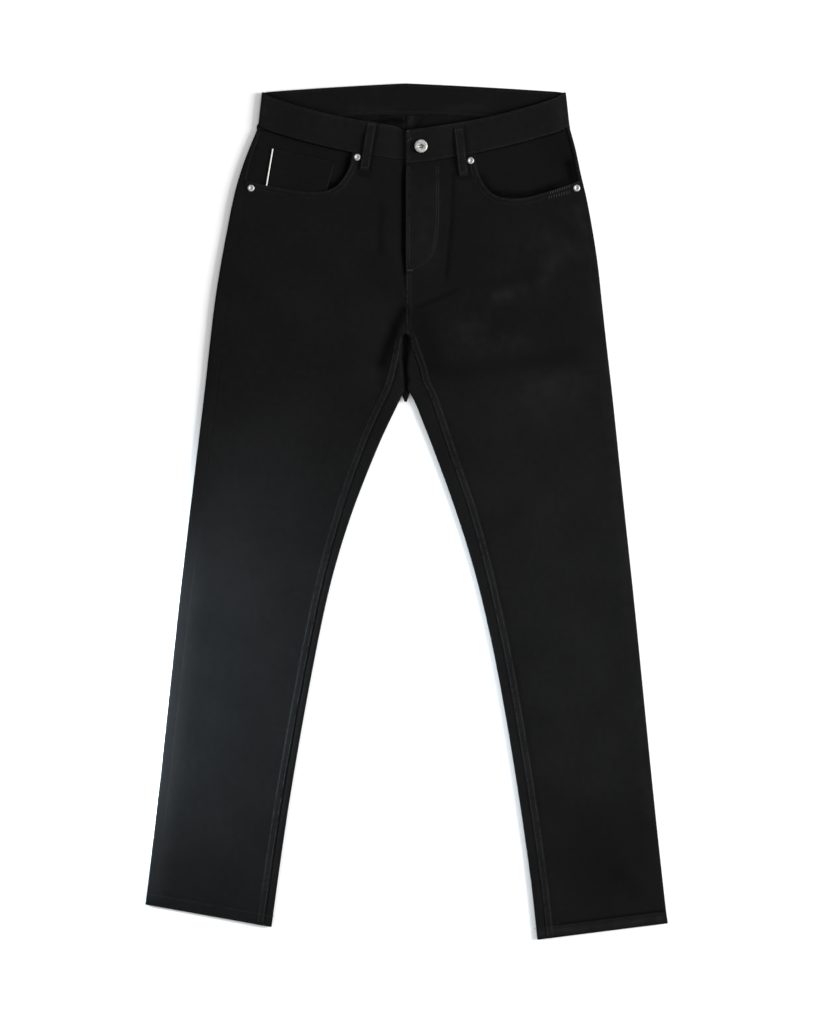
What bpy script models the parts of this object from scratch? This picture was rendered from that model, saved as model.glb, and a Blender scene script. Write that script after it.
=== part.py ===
"""Black five-pocket selvedge jeans laid flat, front side up, built from the pieces that are cut and sewn.

X runs to the wearer's left, Y towards the waist and Z up. The origin is the middle of the outline,
on the surface that the garment lies on. Sizes are in millimetres until a mesh is made.
"""

import math

import bmesh
import bpy
from mathutils import Vector

MM = 0.001

# Cloth, seams and hardware
DENIM = 1.1  # wall of one layer of denim
SEAM_GAP = 0.3  # between two pieces that are sewn together
HALF_GAP = SEAM_GAP / 2
CENTRE_X = -1.5  # the centre front and centre back seams
WAISTBAND = 44.0  # height of the finished waistband
BAND_WALL = 2.2  # the waistband is two layers
HEM = 16.0  # height of the turned hem
HEM_WALL = 2.1  # the hem's wall, with the turning inside
SEAT_LIFT = 1.4  # the seat and waistband lie on the back pockets and back belt loops
SEAT_RISE_Y = (200.0, 255.0)  # where the back rises from the legs' level to the seat's
FELL_WIDTH, FELL_RISE, FELL_STEP = 8.5, 0.6, 1.0  # the felled inseam, a raised strip on the front panel
LOOP_WIDTH, LOOP_WALL, LOOP_ARCH = 12.5, 1.5, 0.8
LOOP_STEPS, LOOP_REACH = 12, 5.0
LOOP_STEP_START, LOOP_STEP_END = 12.0, 3.0  # below the waist seam, where a loop climbs onto the band

# Levels on the Y axis
CROTCH_Y, CROTCH_OUTER_Y = 236.0, 286.0  # where the inseams meet, and that rung's outer end
WRAP_Y = 231.0  # from here down each leg is a closed tube
FORK_Y = 165.0  # where the legs part
FLY_END_Y, FLY_END_OUTER_Y = 317.0, 360.0  # a rung through the lowest point of the fly opening

# The solid that cuts a pocket opening reaches past the front's side, top and both faces
CUTTER_REACH, CUTTER_TOP_Y, CUTTER_HEIGHT = 300.0, 560.0, 20.0


def table(names, *rows):
    """A short table as a list of rows, each a dictionary from column name to value."""
    return [dict(zip(names.split(), row)) for row in rows]


# Outline of the two legs from the waist seam to the hem, seen from above
OUTER_EDGE = table(
    "y      right   left",
    (511,   198.0,  217.0),
    (480,   211.0,  225.5),
    (450,   222.0,  231.5),
    (420,   230.2,  239.0),
    (380,   238.2,  246.6),
    (330,   247.5,  254.4),
    (280,   255.4,  259.8),
    (230,   261.5,  265.3),
    (150,   270.5,  274.5),
    (20,    286.3,  288.0),
    (-120,  303.0,  303.0),
    (-250,  317.0,  316.0),
    (-380,  331.0,  329.0),
    (-523,  348.0,  344.4),
    (-548,  351.0,  347.9),
)
INNER_EDGE = table(
    "y      right   left",
    (150,   8.0,    9.6),
    (120,   22.8,   20.8),
    (80,    41.2,   36.8),
    (40,    57.0,   51.4),
    (0,     72.2,   65.5),
    (-60,   91.5,   84.8),
    (-120,  107.0,  100.6),
    (-200,  123.3,  118.2),
    (-300,  141.6,  136.3),
    (-400,  158.2,  152.2),
    (-500,  172.6,  166.2),
    (-570,  182.0,  173.7),
)
# Distance of the side seam inside the outer edge, on the front
OUTSEAM = table(
    "y      right   left",
    (511,   4.5,    4.5),
    (480,   6.0,    4.5),
    (450,   8.5,    5.0),
    (420,   13.5,   5.5),
    (380,   16.0,   5.5),
    (330,   17.5,   8.0),
    (280,   17.5,   11.5),
    (150,   16.0,   12.5),
    (-120,  13.0,   11.5),
    (-550,  10.5,   10.5),
)
# Distance of the inseam inside the inner edge, on the front
INSEAM = table(
    "y      right   left",
    (231,   4.2,    4.2),
    (215,   6.5,    9.0),
    (194,   10.5,   17.0),
    (165,   18.0,   23.5),
    (136,   19.0,   22.0),
    (74,    17.0,   18.5),
    (0,     13.5,   17.8),
    (-60,   11.0,   15.0),
    (-180,  9.6,    13.0),
    (-570,  10.5,   12.2),
)
# Height of the front's surface in the middle of a leg and beside its edges
LOFT = table(
    "y      middle  edge",
    (560,   6.9,    6.9),
    (420,   6.9,    6.8),
    (300,   6.8,    6.7),
    (236,   6.3,    6.3),
    (160,   5.4,    5.9),
    (0,     4.6,    5.6),
    (-300,  4.4,    5.5),
    (-500,  4.6,    5.6),
    (-560,  5.0,    5.8),
)
PUFF_REACH = 24.0  # how far the edge's height reaches into the leg
PUFF_END_Y = (200.0, 260.0)  # above the fork the inner edge has no height of its own

# Largest creases of the front: a trough has a negative rise
CREASES = table(
    "x0    y0     x1    y1     rise   spread",
    (-6,   256,   -28,  222,   -1.6,  8),
    (-28,  222,   -39,  168,   -1.7,  10),
    (12,   270,   38,   277,   -0.9,  6),
    (38,   277,   66,   290,   -0.9,  6),
    (60,   384,   53,   318,   -0.8,  8),
    (-38,  408,   -38,  350,   -0.7,  8),
    (60,   170,   118,  178,   -0.8,  12),
    (95,   268,   165,  296,   0.6,   14),
    (-200, 40,    -150, 10,    -0.5,  16),
    (190,  -60,   250,  -95,   -0.5,  16),
)

# Front pocket mouths, from the waist seam round to the side seam
POCKET_MOUTH = {
    "right": [(-72, 500), (-72.5, 484), (-74, 469), (-77, 456), (-83.5, 443.5), (-93.5, 432.5), (-106.5, 426),
              (-122, 424), (-138.5, 425), (-157.5, 428), (-188, 433.5), (-212, 439), (-232, 444)],
    "left": [(91, 500), (91.2, 472), (92.8, 458), (96.5, 445), (103.5, 432.5), (113.5, 422.5), (127, 416.5),
             (144, 415.5), (161, 417.5), (186, 424.5), (211.5, 433), (229, 439.5), (246, 446)],
}
FACING_MARGIN = 18.0  # the facing runs this far under the front panel
FACING_DROP = {"right": 1.4, "left": 0.5}  # the coin pocket lies between the right facing and the front
FACING_DROP_RUN = 28.0  # from the side seam to where the facing has sunk
FACING_CORNER = 2.5  # below the end of the front waist seam

# The lowest and highest rung of each part of a side, as the Y of its outer and inner end
HEM_LINE = {"right": (-523.0, -553.0), "left": (-548.0, -569.9)}
FRONT_WAIST = {"right": (511.0, 467.0), "left": (510.0, 462.5)}
FRONT_BOW = 6.0  # the front waist seam sags this much below the straight line
BACK_WAIST = (511.0, 529.0)
BACK_BOW = -4.5  # the back waist seam rises this much above the straight line
YOKE_SEAM = (471.0, 458.0)
YOKE_CLEAR = 0.5  # from the back waist seam down to the yoke
FOLD_CLEAR = 1.2  # from the back waist seam up to the waistband's side fold
BACK_TOP = (557.5, 569.9)  # top of the back waistband at the side and at the centre
BACK_TOP_BOW = -0.8

HARDWARE = table(
    "name                  x       y",
    ("rivet_right_inner",  -65.8,  471.0),
    ("rivet_right_outer",  -207.0, 430.0),
    ("rivet_left_inner",   85.0,   466.5),
    ("rivet_left_outer",   226.0,  430.0),
)
BUTTON_X, BUTTON_Y = 19.0, 485.0
COIN_POCKET = {"top_left": (-177.0, 482.5), "top_right": (-96.0, 465.5),
               "low_right": (-107.5, 420.5), "low_left": (-186.5, 427.0)}
COIN_REACH, COIN_ROWS = 6.0, 6
SELVEDGE = 1.8  # width of the white woven edge
BELT_LOOPS_FRONT = table(
    "name                      top_x   top_y   low_x   low_y",
    ("belt_loop_front_right",  -46.0,  518.0,  -56.5,  453.0),
    ("belt_loop_front_left",   68.5,   510.5,  75.5,   446.5),
)
BELT_LOOPS_BACK = table(
    "name                      top_x   top_y   low_x   low_y",
    ("belt_loop_back_right",   -118.0, 561.0,  -121.0, 497.0),
    ("belt_loop_back_centre",  -1.5,   568.5,  -1.5,   503.0),
    ("belt_loop_back_left",    121.0,  561.5,  124.0,  497.0),
)
BACK_POCKET_TOP, BACK_POCKET_WIDTH = 425.0, 138.0
BACK_POCKET_HEIGHT, BACK_POCKET_POINT = 128.0, 22.0
BACK_POCKET_TAPER = 0.93
BACK_POCKET_X = {"right": -101.0, "left": 99.0}

# The fly: levels of its layers at the centre front
FLY_RISE = {"right": -0.4, "left": 1.4}  # change of the panel's height beside the fly
FLY_REACH = {"right": 16.0, "left": 46.0}
FLY_FLAT = 0.35  # this share of the reach is at the full change of height
FLY_RISE_Y = (285.0, 314.0)  # where the change of height begins, going up
UNDERLAP = 4.5  # the right panel runs on under the left one
SHIELD = {"x0": -6.0, "x1": 38.0, "y0": 312.0, "y1": 458.5, "z": 2.9}
ZIP = {"x0": -3.0, "x1": 21.0, "y0": 322.0, "y1": 458.0, "z": 4.3, "tape": 0.8, "chain": 1.8, "half": 2.6}
ZIP_CHAIN_TOP_Y = 443.0
SHIELD_CORNER = 26.0
SLIDER_WALL = 0.5
SLIDER = table(  # y is from the chain's top; the pull is raised over the chain
    "y      half   raised",
    (11.0,  3.2,   False),
    (8.0,   4.2,   False),
    (1.0,   3.0,   False),
    (0.6,   2.9,   True),
    (-22.0, 2.6,   True),
)
BAND_END_LEFT_TOP, BAND_END_RIGHT_TOP = 9.0, 5.9  # the left end buttons over the right one
BAND_TOP = 7.3
BAND_LEAN = 5.0  # the waistband is this much narrower at its upper edge, at each side
BAND_UNDERLAP_X = 38.0
UNDERLAP_DIP = 6.0  # the right end is this much lower at its upper edge
UNDERLAP_DIP_X = (-18.0, 0.0)  # where that begins and is complete
LEFT_END_X = (40.0, 75.0)  # over this stretch the left end comes down to the band's height
RIGHT_END_X = (4.0, 30.0)  # over this stretch, on the wearer's right, the right end comes up to it
BAND_LEAN_X = (120.0, 200.0)  # the waistband leans in over this stretch of each side

SIGN = {"right": -1.0, "left": 1.0}

# Where the cloth's grids have their lines, as shares of a width unless a unit is given
FRONT_COLUMNS = (0.07, 0.18, 0.31, 0.44, 0.57, 0.69, 0.79, 0.87, 0.93)
UNDER_COLUMNS = (0.15, 0.32, 0.5, 0.68, 0.85)
FACING_COLUMNS = (0.0, 0.2, 0.4, 0.6, 0.75, 0.88, 1.0)
QUARTERS = (0.0, 0.25, 0.5, 0.75, 1.0)
HALVES = (0.0, 0.5, 1.0)
FOLD_TURNS = [math.radians(angle) for angle in (90, 50, 15, -20, -55, -90)]
NEAR_EDGE = 3.0  # mm inside an edge, where a turned edge takes its height


def smooth(value, low, high):
    """0 below low and 1 above high, with a soft change between."""
    t = min(1.0, max(0.0, (value - low) / (high - low)))
    return t * t * (3.0 - 2.0 * t)


def mix(a, b, t):
    return a + (b - a) * t


def through(rows, column):
    """A smooth function of y that passes through one column of a table."""
    points = sorted((row["y"], row[column]) for row in rows)

    def slope(i):
        j, k = max(i - 1, 0), min(i + 1, len(points) - 1)
        return (points[k][1] - points[j][1]) / (points[k][0] - points[j][0])

    def value(y):
        y = min(max(y, points[0][0]), points[-1][0])
        i = next(n for n in range(len(points) - 1) if y <= points[n + 1][0])
        (y0, v0), (y1, v1) = points[i], points[i + 1]
        h = y1 - y0
        t = (y - y0) / h
        return (
            (2 * t**3 - 3 * t**2 + 1) * v0
            + (t**3 - 2 * t**2 + t) * h * slope(i)
            + (3 * t**2 - 2 * t**3) * v1
            + (t**3 - t**2) * h * slope(i + 1)
        )

    return value


OUTER = {side: through(OUTER_EDGE, side) for side in SIGN}
INNER = {side: through(INNER_EDGE, side) for side in SIGN}
OUTSEAM_IN = {side: through(OUTSEAM, side) for side in SIGN}
INSEAM_IN = {side: through(INSEAM, side) for side in SIGN}
MIDDLE, EDGE = through(LOFT, "middle"), through(LOFT, "edge")


def outer_x(side, y):
    return SIGN[side] * OUTER[side](y)


def inner_x(side, y):
    """The inner end of a rung: the centre line down to the fork, then the leg's inner edge."""
    centre = CENTRE_X + SIGN[side] * HALF_GAP
    if y >= FORK_Y:
        return centre
    lowest = INNER_EDGE[0]["y"]
    if y > lowest:
        return mix(SIGN[side] * INNER[side](lowest), centre, (y - lowest) / (FORK_Y - lowest))
    return SIGN[side] * INNER[side](y)


def outseam_x(side, y):
    return outer_x(side, y) - SIGN[side] * OUTSEAM_IN[side](y)


def inseam_x(side, y):
    return inner_x(side, y) + SIGN[side] * INSEAM_IN[side](y)


def floor_height(y):
    """Height of the back's outer surface: the legs lie on the surface, the seat on what is sewn to it."""
    return SEAT_LIFT * smooth(y, *SEAT_RISE_Y)


def distance_to_path(x, y, path):
    nearest = 1e9
    for (x0, y0), (x1, y1) in zip(path, path[1:]):
        dx, dy = x1 - x0, y1 - y0
        t = min(1.0, max(0.0, ((x - x0) * dx + (y - y0) * dy) / (dx * dx + dy * dy)))
        nearest = min(nearest, math.hypot(x - x0 - t * dx, y - y0 - t * dy))
    return nearest


def crease_rise(x, y):
    """Sum of the creases at a point: each is a soft ridge or trough along a short line."""
    total = 0.0
    for crease in CREASES:
        line = [(crease["x0"], crease["y0"]), (crease["x1"], crease["y1"])]
        off = distance_to_path(x, y, line) / crease["spread"]
        total += crease["rise"] * math.exp(-off * off)
    return total


def fly_zone(y):
    return smooth(y, *FLY_RISE_Y)


def surface(side, x, y):
    """Height of the front's surface."""
    off_outer = abs(x - outer_x(side, y)) / PUFF_REACH
    off_inner = abs(x - inner_x(side, y)) / PUFF_REACH
    puff = math.exp(-off_outer * off_outer)
    puff += math.exp(-off_inner * off_inner) * (1.0 - smooth(y, *PUFF_END_Y))
    height = mix(MIDDLE(y), EDGE(y), min(1.0, puff)) + crease_rise(x, y)
    beside_fly = 1.0 - smooth(abs(x - CENTRE_X), FLY_FLAT * FLY_REACH[side], FLY_REACH[side])
    return height + FLY_RISE[side] * beside_fly * fly_zone(y)


def highest(height, x, y, reach):
    """The highest value of height(x, y) over a small square, for a piece that lies on facets."""
    offsets = (-reach, 0.0, reach)
    return max(height(x + dx, y + dy) for dx in offsets for dy in offsets)


class Rung:
    """A line across one side of the garment, from its outer edge to its centre or inner edge."""

    def __init__(self, side, outer_y, inner_y, bow=0.0):
        self.side, self.bow = side, bow
        self.outer = Vector((outer_x(side, outer_y), outer_y))
        self.inner = Vector((inner_x(side, inner_y), inner_y))
        self.length = (self.inner - self.outer).length

    def at(self, along):
        """The point this far along from the outer end. It may lie past the inner end."""
        t = along / self.length
        point = self.outer.lerp(self.inner, t)
        point.y -= self.bow * 4.0 * t * (1.0 - t)
        return point

    def meets(self, seam, guess):
        """How far along the rung a seam crosses it. seam is a function of side and y that gives x."""
        along = guess
        for _ in range(12):
            point = self.at(along)
            along += (seam(self.side, point.y) - point.x) * -SIGN[self.side]
        return along


def rungs(side, start, end, count, bow=0.0):
    """Evenly spaced rungs from one to another, without the last. start and end give the Y of both ends."""
    made = []
    for i in range(count):
        t = i / count
        made.append(Rung(side, mix(start[0], end[0], t), mix(start[1], end[1], t), bow * (1.0 - t)))
    return made


def leg_rungs(side):
    """Rungs from the crotch down: the first is the crotch, the last is the hem."""
    hem = HEM_LINE[side]

    def at(inner_y):
        t = (CROTCH_Y - inner_y) / (CROTCH_Y - hem[1])
        return mix(CROTCH_OUTER_Y, hem[0], t), inner_y

    levels = [at(y) for y in (CROTCH_Y, WRAP_Y, 216, 200, 182, FORK_Y, INNER_EDGE[0]["y"], 128)]
    fold = (hem[0] + HEM + 1.0, hem[1] + HEM + 1.0)
    long_run = rungs(side, at(96), fold, 14)
    turned = [Rung(side, *fold), Rung(side, hem[0] + HEM, hem[1] + HEM), Rung(side, *hem)]
    return [Rung(side, *level) for level in levels] + long_run + turned


def wall_at(rung, rung_set):
    """Thickness of the cloth on a rung: the turned hem is thicker."""
    return HEM_WALL if rung in rung_set[-2:] else DENIM


def wall(name, outer, inner, material, keep=None):
    """A closed cloth wall between two grids of points. keep(row, column) says which cells are cloth."""
    rows, columns = len(outer) - 1, len(outer[0]) - 1
    keep = keep or (lambda row, column: True)
    cells = {(r, c) for r in range(rows) for c in range(columns) if keep(r, c)}
    shape = bmesh.new()
    corners = {}

    def corner(layer, r, c):
        if (layer, r, c) not in corners:
            grid = (outer, inner)[layer]
            corners[layer, r, c] = shape.verts.new(Vector(grid[r][c]) * MM)
        return corners[layer, r, c]

    for r, c in sorted(cells):
        ring = [(r, c), (r, c + 1), (r + 1, c + 1), (r + 1, c)]
        shape.faces.new([corner(0, *point) for point in ring])
        shape.faces.new([corner(1, *point) for point in reversed(ring)])
        beside = [(r - 1, c), (r, c + 1), (r + 1, c), (r, c - 1)]
        for i, neighbour in enumerate(beside):
            if neighbour not in cells:
                a, b = ring[i], ring[(i + 1) % 4]
                shape.faces.new([corner(0, *b), corner(0, *a), corner(1, *a), corner(1, *b)])
    return solid_object(name, shape, material)


def solid_object(name, shape, material):
    """Makes a part from a bmesh, with its faces pointing out."""
    bmesh.ops.recalc_face_normals(shape, faces=shape.faces)
    mesh = bpy.data.meshes.new(name)
    shape.to_mesh(mesh)
    shape.free()
    mesh.shade_smooth()
    mesh.set_sharp_from_angle(angle=math.radians(40))
    made = bpy.data.objects.new(name, mesh)
    made.data.materials.append(material)
    PARTS.objects.link(made)
    return made


def finish_material(name, colour, roughness, metallic=0.0):
    made = bpy.data.materials.new(name)
    made.use_nodes = True
    shader = made.node_tree.nodes["Principled BSDF"]
    shader.inputs["Base Color"].default_value = (*colour, 1.0)
    shader.inputs["Roughness"].default_value = roughness
    shader.inputs["Metallic"].default_value = metallic
    return made


def flat_wall(name, plan, height, thickness, material):
    """A wall over a grid of plan points: height(x, y) is its upper surface."""
    upper = [[(x, y, height(x, y)) for x, y in row] for row in plan]
    lower = [[(x, y, z - thickness) for x, y, z in row] for row in upper]
    return wall(name, upper, lower, material)


def flat_piece(name, outline, low, high, material):
    """A flat piece of cloth between two heights: its outline is one face, extruded up."""
    shape = bmesh.new()
    base = shape.faces.new([shape.verts.new(Vector((x, y, low)) * MM) for x, y in outline])
    raised = bmesh.ops.extrude_face_region(shape, geom=[base])["geom"]
    corners = [item for item in raised if isinstance(item, bmesh.types.BMVert)]
    bmesh.ops.translate(shape, verts=corners, vec=Vector((0.0, 0.0, high - low)) * MM)
    return solid_object(name, shape, material)


def front_panel(side, material):
    """One front, from the waist seam to the hem, between the side seam and the centre or the inseam."""
    fly_end = (FLY_END_OUTER_Y, FLY_END_Y)
    fly = rungs(side, FRONT_WAIST[side], fly_end, 6, FRONT_BOW)
    hip = fly + rungs(side, fly_end, (CROTCH_OUTER_Y, CROTCH_Y), 3)
    every = hip + leg_rungs(side)
    upper, lower = [], []
    for i, rung in enumerate(every):
        start = rung.meets(outseam_x, OUTSEAM_IN[side](rung.outer.y)) + HALF_GAP
        end = rung.length
        if i > len(hip):
            end = rung.meets(inseam_x, rung.length - INSEAM_IN[side](rung.inner.y)) - HALF_GAP
        fell = min(1.0, max(0, i - len(hip)) / 2.0) * FELL_RISE
        stops = [start] + [mix(start, end, share) for share in FRONT_COLUMNS]
        stops += [end - FELL_WIDTH - FELL_STEP, end - FELL_WIDTH, end]
        rises = [0.0] * (len(stops) - 2) + [fell, 0.7 * fell]
        if side == "right":
            stops.append(end + UNDERLAP)
            rises.append(0.0)
        thickness = wall_at(rung, every)
        row = []
        for along, rise in zip(stops, rises):
            x, y = rung.at(along)
            row.append((x, y, surface(side, x, y) + rise))
        upper.append(row)
        lower.append([(x, y, z - thickness) for x, y, z in row])
    underlap = len(upper[0]) - 2
    made = wall(
        f"front_panel_{side}",
        upper,
        lower,
        material,
        lambda r, c: side == "left" or c < underlap or r < len(fly),
    )
    cut_pocket_mouth(made, side)
    return made


def cut_pocket_mouth(panel, side):
    """Cuts the panel back to its pocket mouth. The cutter is a prism outside the mouth's curve."""
    far_x, far_y = SIGN[side] * CUTTER_REACH, CUTTER_TOP_Y
    mouth = smoothed(POCKET_MOUTH[side], 3)
    outline = mouth + [(far_x, mouth[-1][1]), (far_x, far_y), (mouth[0][0], far_y)]
    material = panel.data.materials[0]
    cutter = flat_piece(f"cutter_pocket_{side}", outline, -CUTTER_HEIGHT, CUTTER_HEIGHT, material)
    PARTS.objects.unlink(cutter)
    CUTTERS.objects.link(cutter)
    cutter.hide_render = True
    cutter.display_type = "WIRE"
    cut = panel.modifiers.new("pocket mouth", "BOOLEAN")
    cut.operation = "DIFFERENCE"
    cut.object = cutter


def smoothed(path, steps):
    """A path with extra points on a smooth curve through its own."""
    made = []
    for i in range(len(path) - 1):
        p0, p1, p2, p3 = (Vector(path[min(max(i + k, 0), len(path) - 1)]) for k in (-1, 0, 1, 2))
        for step in range(steps):
            t = step / steps
            square = 2 * p0 - 5 * p1 + 4 * p2 - p3
            cube = 3 * p1 - p0 - 3 * p2 + p3
            point = 0.5 * (2 * p1 + (p2 - p0) * t + square * t**2 + cube * t**3)
            made.append(tuple(point))
    return made + [tuple(path[-1])]


def folded_section(rung, thickness, closed):
    """Outer and inner points of a back piece on one rung, over the side, below, and up the inner edge."""
    side = rung.side
    outer, inner = [], []

    def put(along_out, z_out, along_in, z_in):
        x, y = rung.at(along_out)
        outer.append((x, y, z_out))
        x, y = rung.at(along_in)
        inner.append((x, y, z_in))

    def fold(edge_y, from_end):
        """The turned edge, from the front's surface down to the floor."""
        base = floor_height(edge_y)
        x, y = rung.at(rung.length - NEAR_EDGE if from_end else NEAR_EDGE)
        radius = (surface(side, x, y) - base) / 2.0
        points = []
        for turn in FOLD_TURNS:
            away_out = radius * (1.0 - math.cos(turn))
            away_in = radius - (radius - thickness) * math.cos(turn)
            rise_out = base + radius * (1.0 + math.sin(turn))
            rise_in = base + radius + (radius - thickness) * math.sin(turn)
            if from_end:
                away_out, away_in = rung.length - away_out, rung.length - away_in
            points.append((away_out, rise_out, away_in, rise_in))
        return radius, points

    def strip(along):
        x, y = rung.at(along)
        z = surface(side, x, y)
        put(along, z, along, z - thickness)

    radius, turned = fold(rung.outer.y, False)
    seam = rung.meets(outseam_x, OUTSEAM_IN[side](rung.outer.y)) - HALF_GAP
    strip(seam)
    strip(mix(seam, radius, 0.5))
    for point in turned:
        put(*point)
    inner_radius, inner_turned = fold(rung.inner.y, True)
    span_end = rung.length - (inner_radius if closed else NEAR_EDGE)
    for share in UNDER_COLUMNS:
        along = mix(radius, span_end, share)
        x, y = rung.at(along)
        put(along, floor_height(y), along, floor_height(y) + thickness)
    if not closed:
        for along in (span_end, rung.length):
            x, y = rung.at(along)
            put(along, floor_height(y), along, floor_height(y) + thickness)
        for _ in range(len(FOLD_TURNS)):
            outer.append(outer[-1])
            inner.append(inner[-1])
        return outer, inner
    for point in reversed(inner_turned):
        put(*point)
    seam = rung.meets(inseam_x, rung.length - INSEAM_IN[side](rung.inner.y)) + HALF_GAP
    strip(mix(rung.length - inner_radius, seam, 0.5))
    strip(seam)
    return outer, inner


OPEN_CELLS = 3 + len(FOLD_TURNS) + len(UNDER_COLUMNS)  # cells across an open section, up to the centre back


def back_panel(side, material):
    """One back, from the yoke seam to the hem. It turns over both edges to the side seam and the inseam."""
    top = tuple(y - HALF_GAP for y in YOKE_SEAM)
    hip = rungs(side, top, (CROTCH_OUTER_Y, CROTCH_Y), 8)
    every = hip + leg_rungs(side)
    outer, inner = [], []
    for i, rung in enumerate(every):
        section = folded_section(rung, wall_at(rung, every), i > len(hip))
        outer.append(section[0])
        inner.append(section[1])
    return wall(f"back_panel_{side}", outer, inner, material, lambda r, c: c < OPEN_CELLS or r > len(hip))


def yoke(side, material):
    """The back yoke, between the waistband and the back panel, turned over the side edge to the side seam."""
    start = tuple(y - YOKE_CLEAR for y in BACK_WAIST)
    end = tuple(y + HALF_GAP for y in YOKE_SEAM)
    across = rungs(side, start, end, 3, BACK_BOW) + [Rung(side, *end)]
    outer, inner = [], []
    for rung in across:
        section = folded_section(rung, DENIM, False)
        outer.append(section[0])
        inner.append(section[1])
    return wall(f"yoke_{side}", outer, inner, material, lambda r, c: c < OPEN_CELLS)


def across_y(side, ends, bow, x):
    """Y at x of a bowed line across one side. ends gives its Y at the outer edge and at the centre."""
    rung = Rung(side, *ends, bow)
    return rung.at((x - rung.outer.x) / (rung.inner.x - rung.outer.x) * rung.length).y


def front_waist_y(side, x):
    """Y of the front waist seam."""
    return across_y(side, FRONT_WAIST[side], FRONT_BOW, x)


def band_height(side, x):
    """Height of the front waistband's surface. Its left end buttons over its right end."""
    if side == "left":
        return mix(BAND_END_LEFT_TOP, BAND_TOP, smooth(x, *LEFT_END_X))
    return mix(BAND_END_RIGHT_TOP, BAND_TOP, smooth(-x, *RIGHT_END_X))


def waistband(material):
    """One strip round the waist: left front, left side, back, right side, right front and its underlap."""
    outer, inner = [], []

    def station(low_out, high_out, low_in, high_in):
        outer.append([mix_point(low_out, high_out, t) for t in HALVES])
        inner.append([mix_point(low_in, high_in, t) for t in HALVES])

    def front(side, xs):
        for x in xs:
            low = front_waist_y(side, min(x, CENTRE_X) if side == "right" else x) + SEAM_GAP
            dip = UNDERLAP_DIP * smooth(x, *UNDERLAP_DIP_X) if side == "right" else 0.0
            reach = WAISTBAND - dip
            top_x = x - SIGN[side] * BAND_LEAN * smooth(abs(x), *BAND_LEAN_X)
            top, bottom = band_height(side, x), band_height(side, x) - BAND_WALL
            station((x, low, top), (top_x, low + reach, top), (x, low, bottom), (top_x, low + reach, bottom))

    def side_fold(side, turns):
        low = Vector((outer_x(side, BACK_WAIST[0]), BACK_WAIST[0] + FOLD_CLEAR))
        high = Vector((low.x - SIGN[side] * BAND_LEAN, BACK_TOP[0]))
        radius = (BAND_TOP - SEAT_LIFT) / 2.0
        middle = SEAT_LIFT + radius
        for turn in turns:
            points = []
            for r in (radius, radius - BAND_WALL):
                away = SIGN[side] * (radius - r * math.cos(turn))
                z = middle + r * math.sin(turn)
                points += [(low.x - away, low.y, z), (high.x - away, high.y, z)]
            station(*points)

    def back(xs):
        for x in xs:
            side = "left" if x > CENTRE_X else "right"
            low = across_y(side, BACK_WAIST, BACK_BOW, x)
            high = across_y(side, BACK_TOP, BACK_TOP_BOW, x)
            station(
                (x, low, SEAT_LIFT),
                (x, high, SEAT_LIFT),
                (x, low, SEAT_LIFT + BAND_WALL),
                (x, high, SEAT_LIFT + BAND_WALL),
            )

    front("left", (CENTRE_X + HALF_GAP, 20, 40, 58, 76, 100, 128, 158, 188, 204))
    side_fold("left", FOLD_TURNS)
    back((200, 170, 135, 100, 65, 30, CENTRE_X, -30, -62, -95, -128, -158, -184))
    side_fold("right", FOLD_TURNS[::-1])
    front("right", (-187, -172, -145, -115, -85, -58, -32, -22, -13, -4, 6, 20, BAND_UNDERLAP_X))
    return wall("waistband", outer, inner, material)


def mix_point(a, b, t):
    return tuple(mix(p, q, t) for p, q in zip(a, b))


def offset_path(path, distance):
    """A path moved sideways, to the left of its direction when distance is positive."""
    moved = []
    for i, point in enumerate(path):
        a, b = Vector(path[max(i - 1, 0)]), Vector(path[min(i + 1, len(path) - 1)])
        along = (b - a).normalized()
        moved.append((point[0] - along.y * distance, point[1] + along.x * distance))
    return moved


def pocket_facing(side, material):
    """The piece of denim that fills the pocket mouth and runs on under the front panel."""
    sign = SIGN[side]
    low = offset_path(POCKET_MOUTH[side][1:-1], -sign * FACING_MARGIN)
    low[0] = (low[0][0], front_waist_y(side, low[0][0]) - SEAM_GAP)
    low_end_y = POCKET_MOUTH[side][-2][1] - FACING_MARGIN
    low[-1] = (outseam_x(side, low_end_y) - sign * SEAM_GAP, low_end_y)
    corner_y = FRONT_WAIST[side][0] - FACING_CORNER
    corner_x = outseam_x(side, corner_y) - sign * SEAM_GAP
    along_top, down_side = 7, len(low) - 7
    rim = []
    for i in range(along_top):
        x = mix(low[0][0], corner_x, i / along_top)
        rim.append((x, front_waist_y(side, x) - SEAM_GAP))
    for i in range(down_side):
        y = mix(corner_y, low_end_y + FACING_MARGIN, i / (down_side - 1))
        rim.append((outseam_x(side, y) - sign * SEAM_GAP, y))
    plan = [[mix_point(a, b, t) for t in FACING_COLUMNS] for a, b in zip(low, rim)]
    return flat_wall(f"pocket_facing_{side}", plan, lambda x, y: facing_height(side, x, y), DENIM, material)


def facing_height(side, x, y):
    """The facing sinks away from the side seam, to leave room for what lies between it and the front."""
    inside_seam = SIGN[side] * (outseam_x(side, y) - x)
    drop = FACING_DROP[side] * smooth(inside_seam, 0.0, FACING_DROP_RUN)
    return surface(side, x, y) - DENIM - SEAM_GAP - drop


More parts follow.
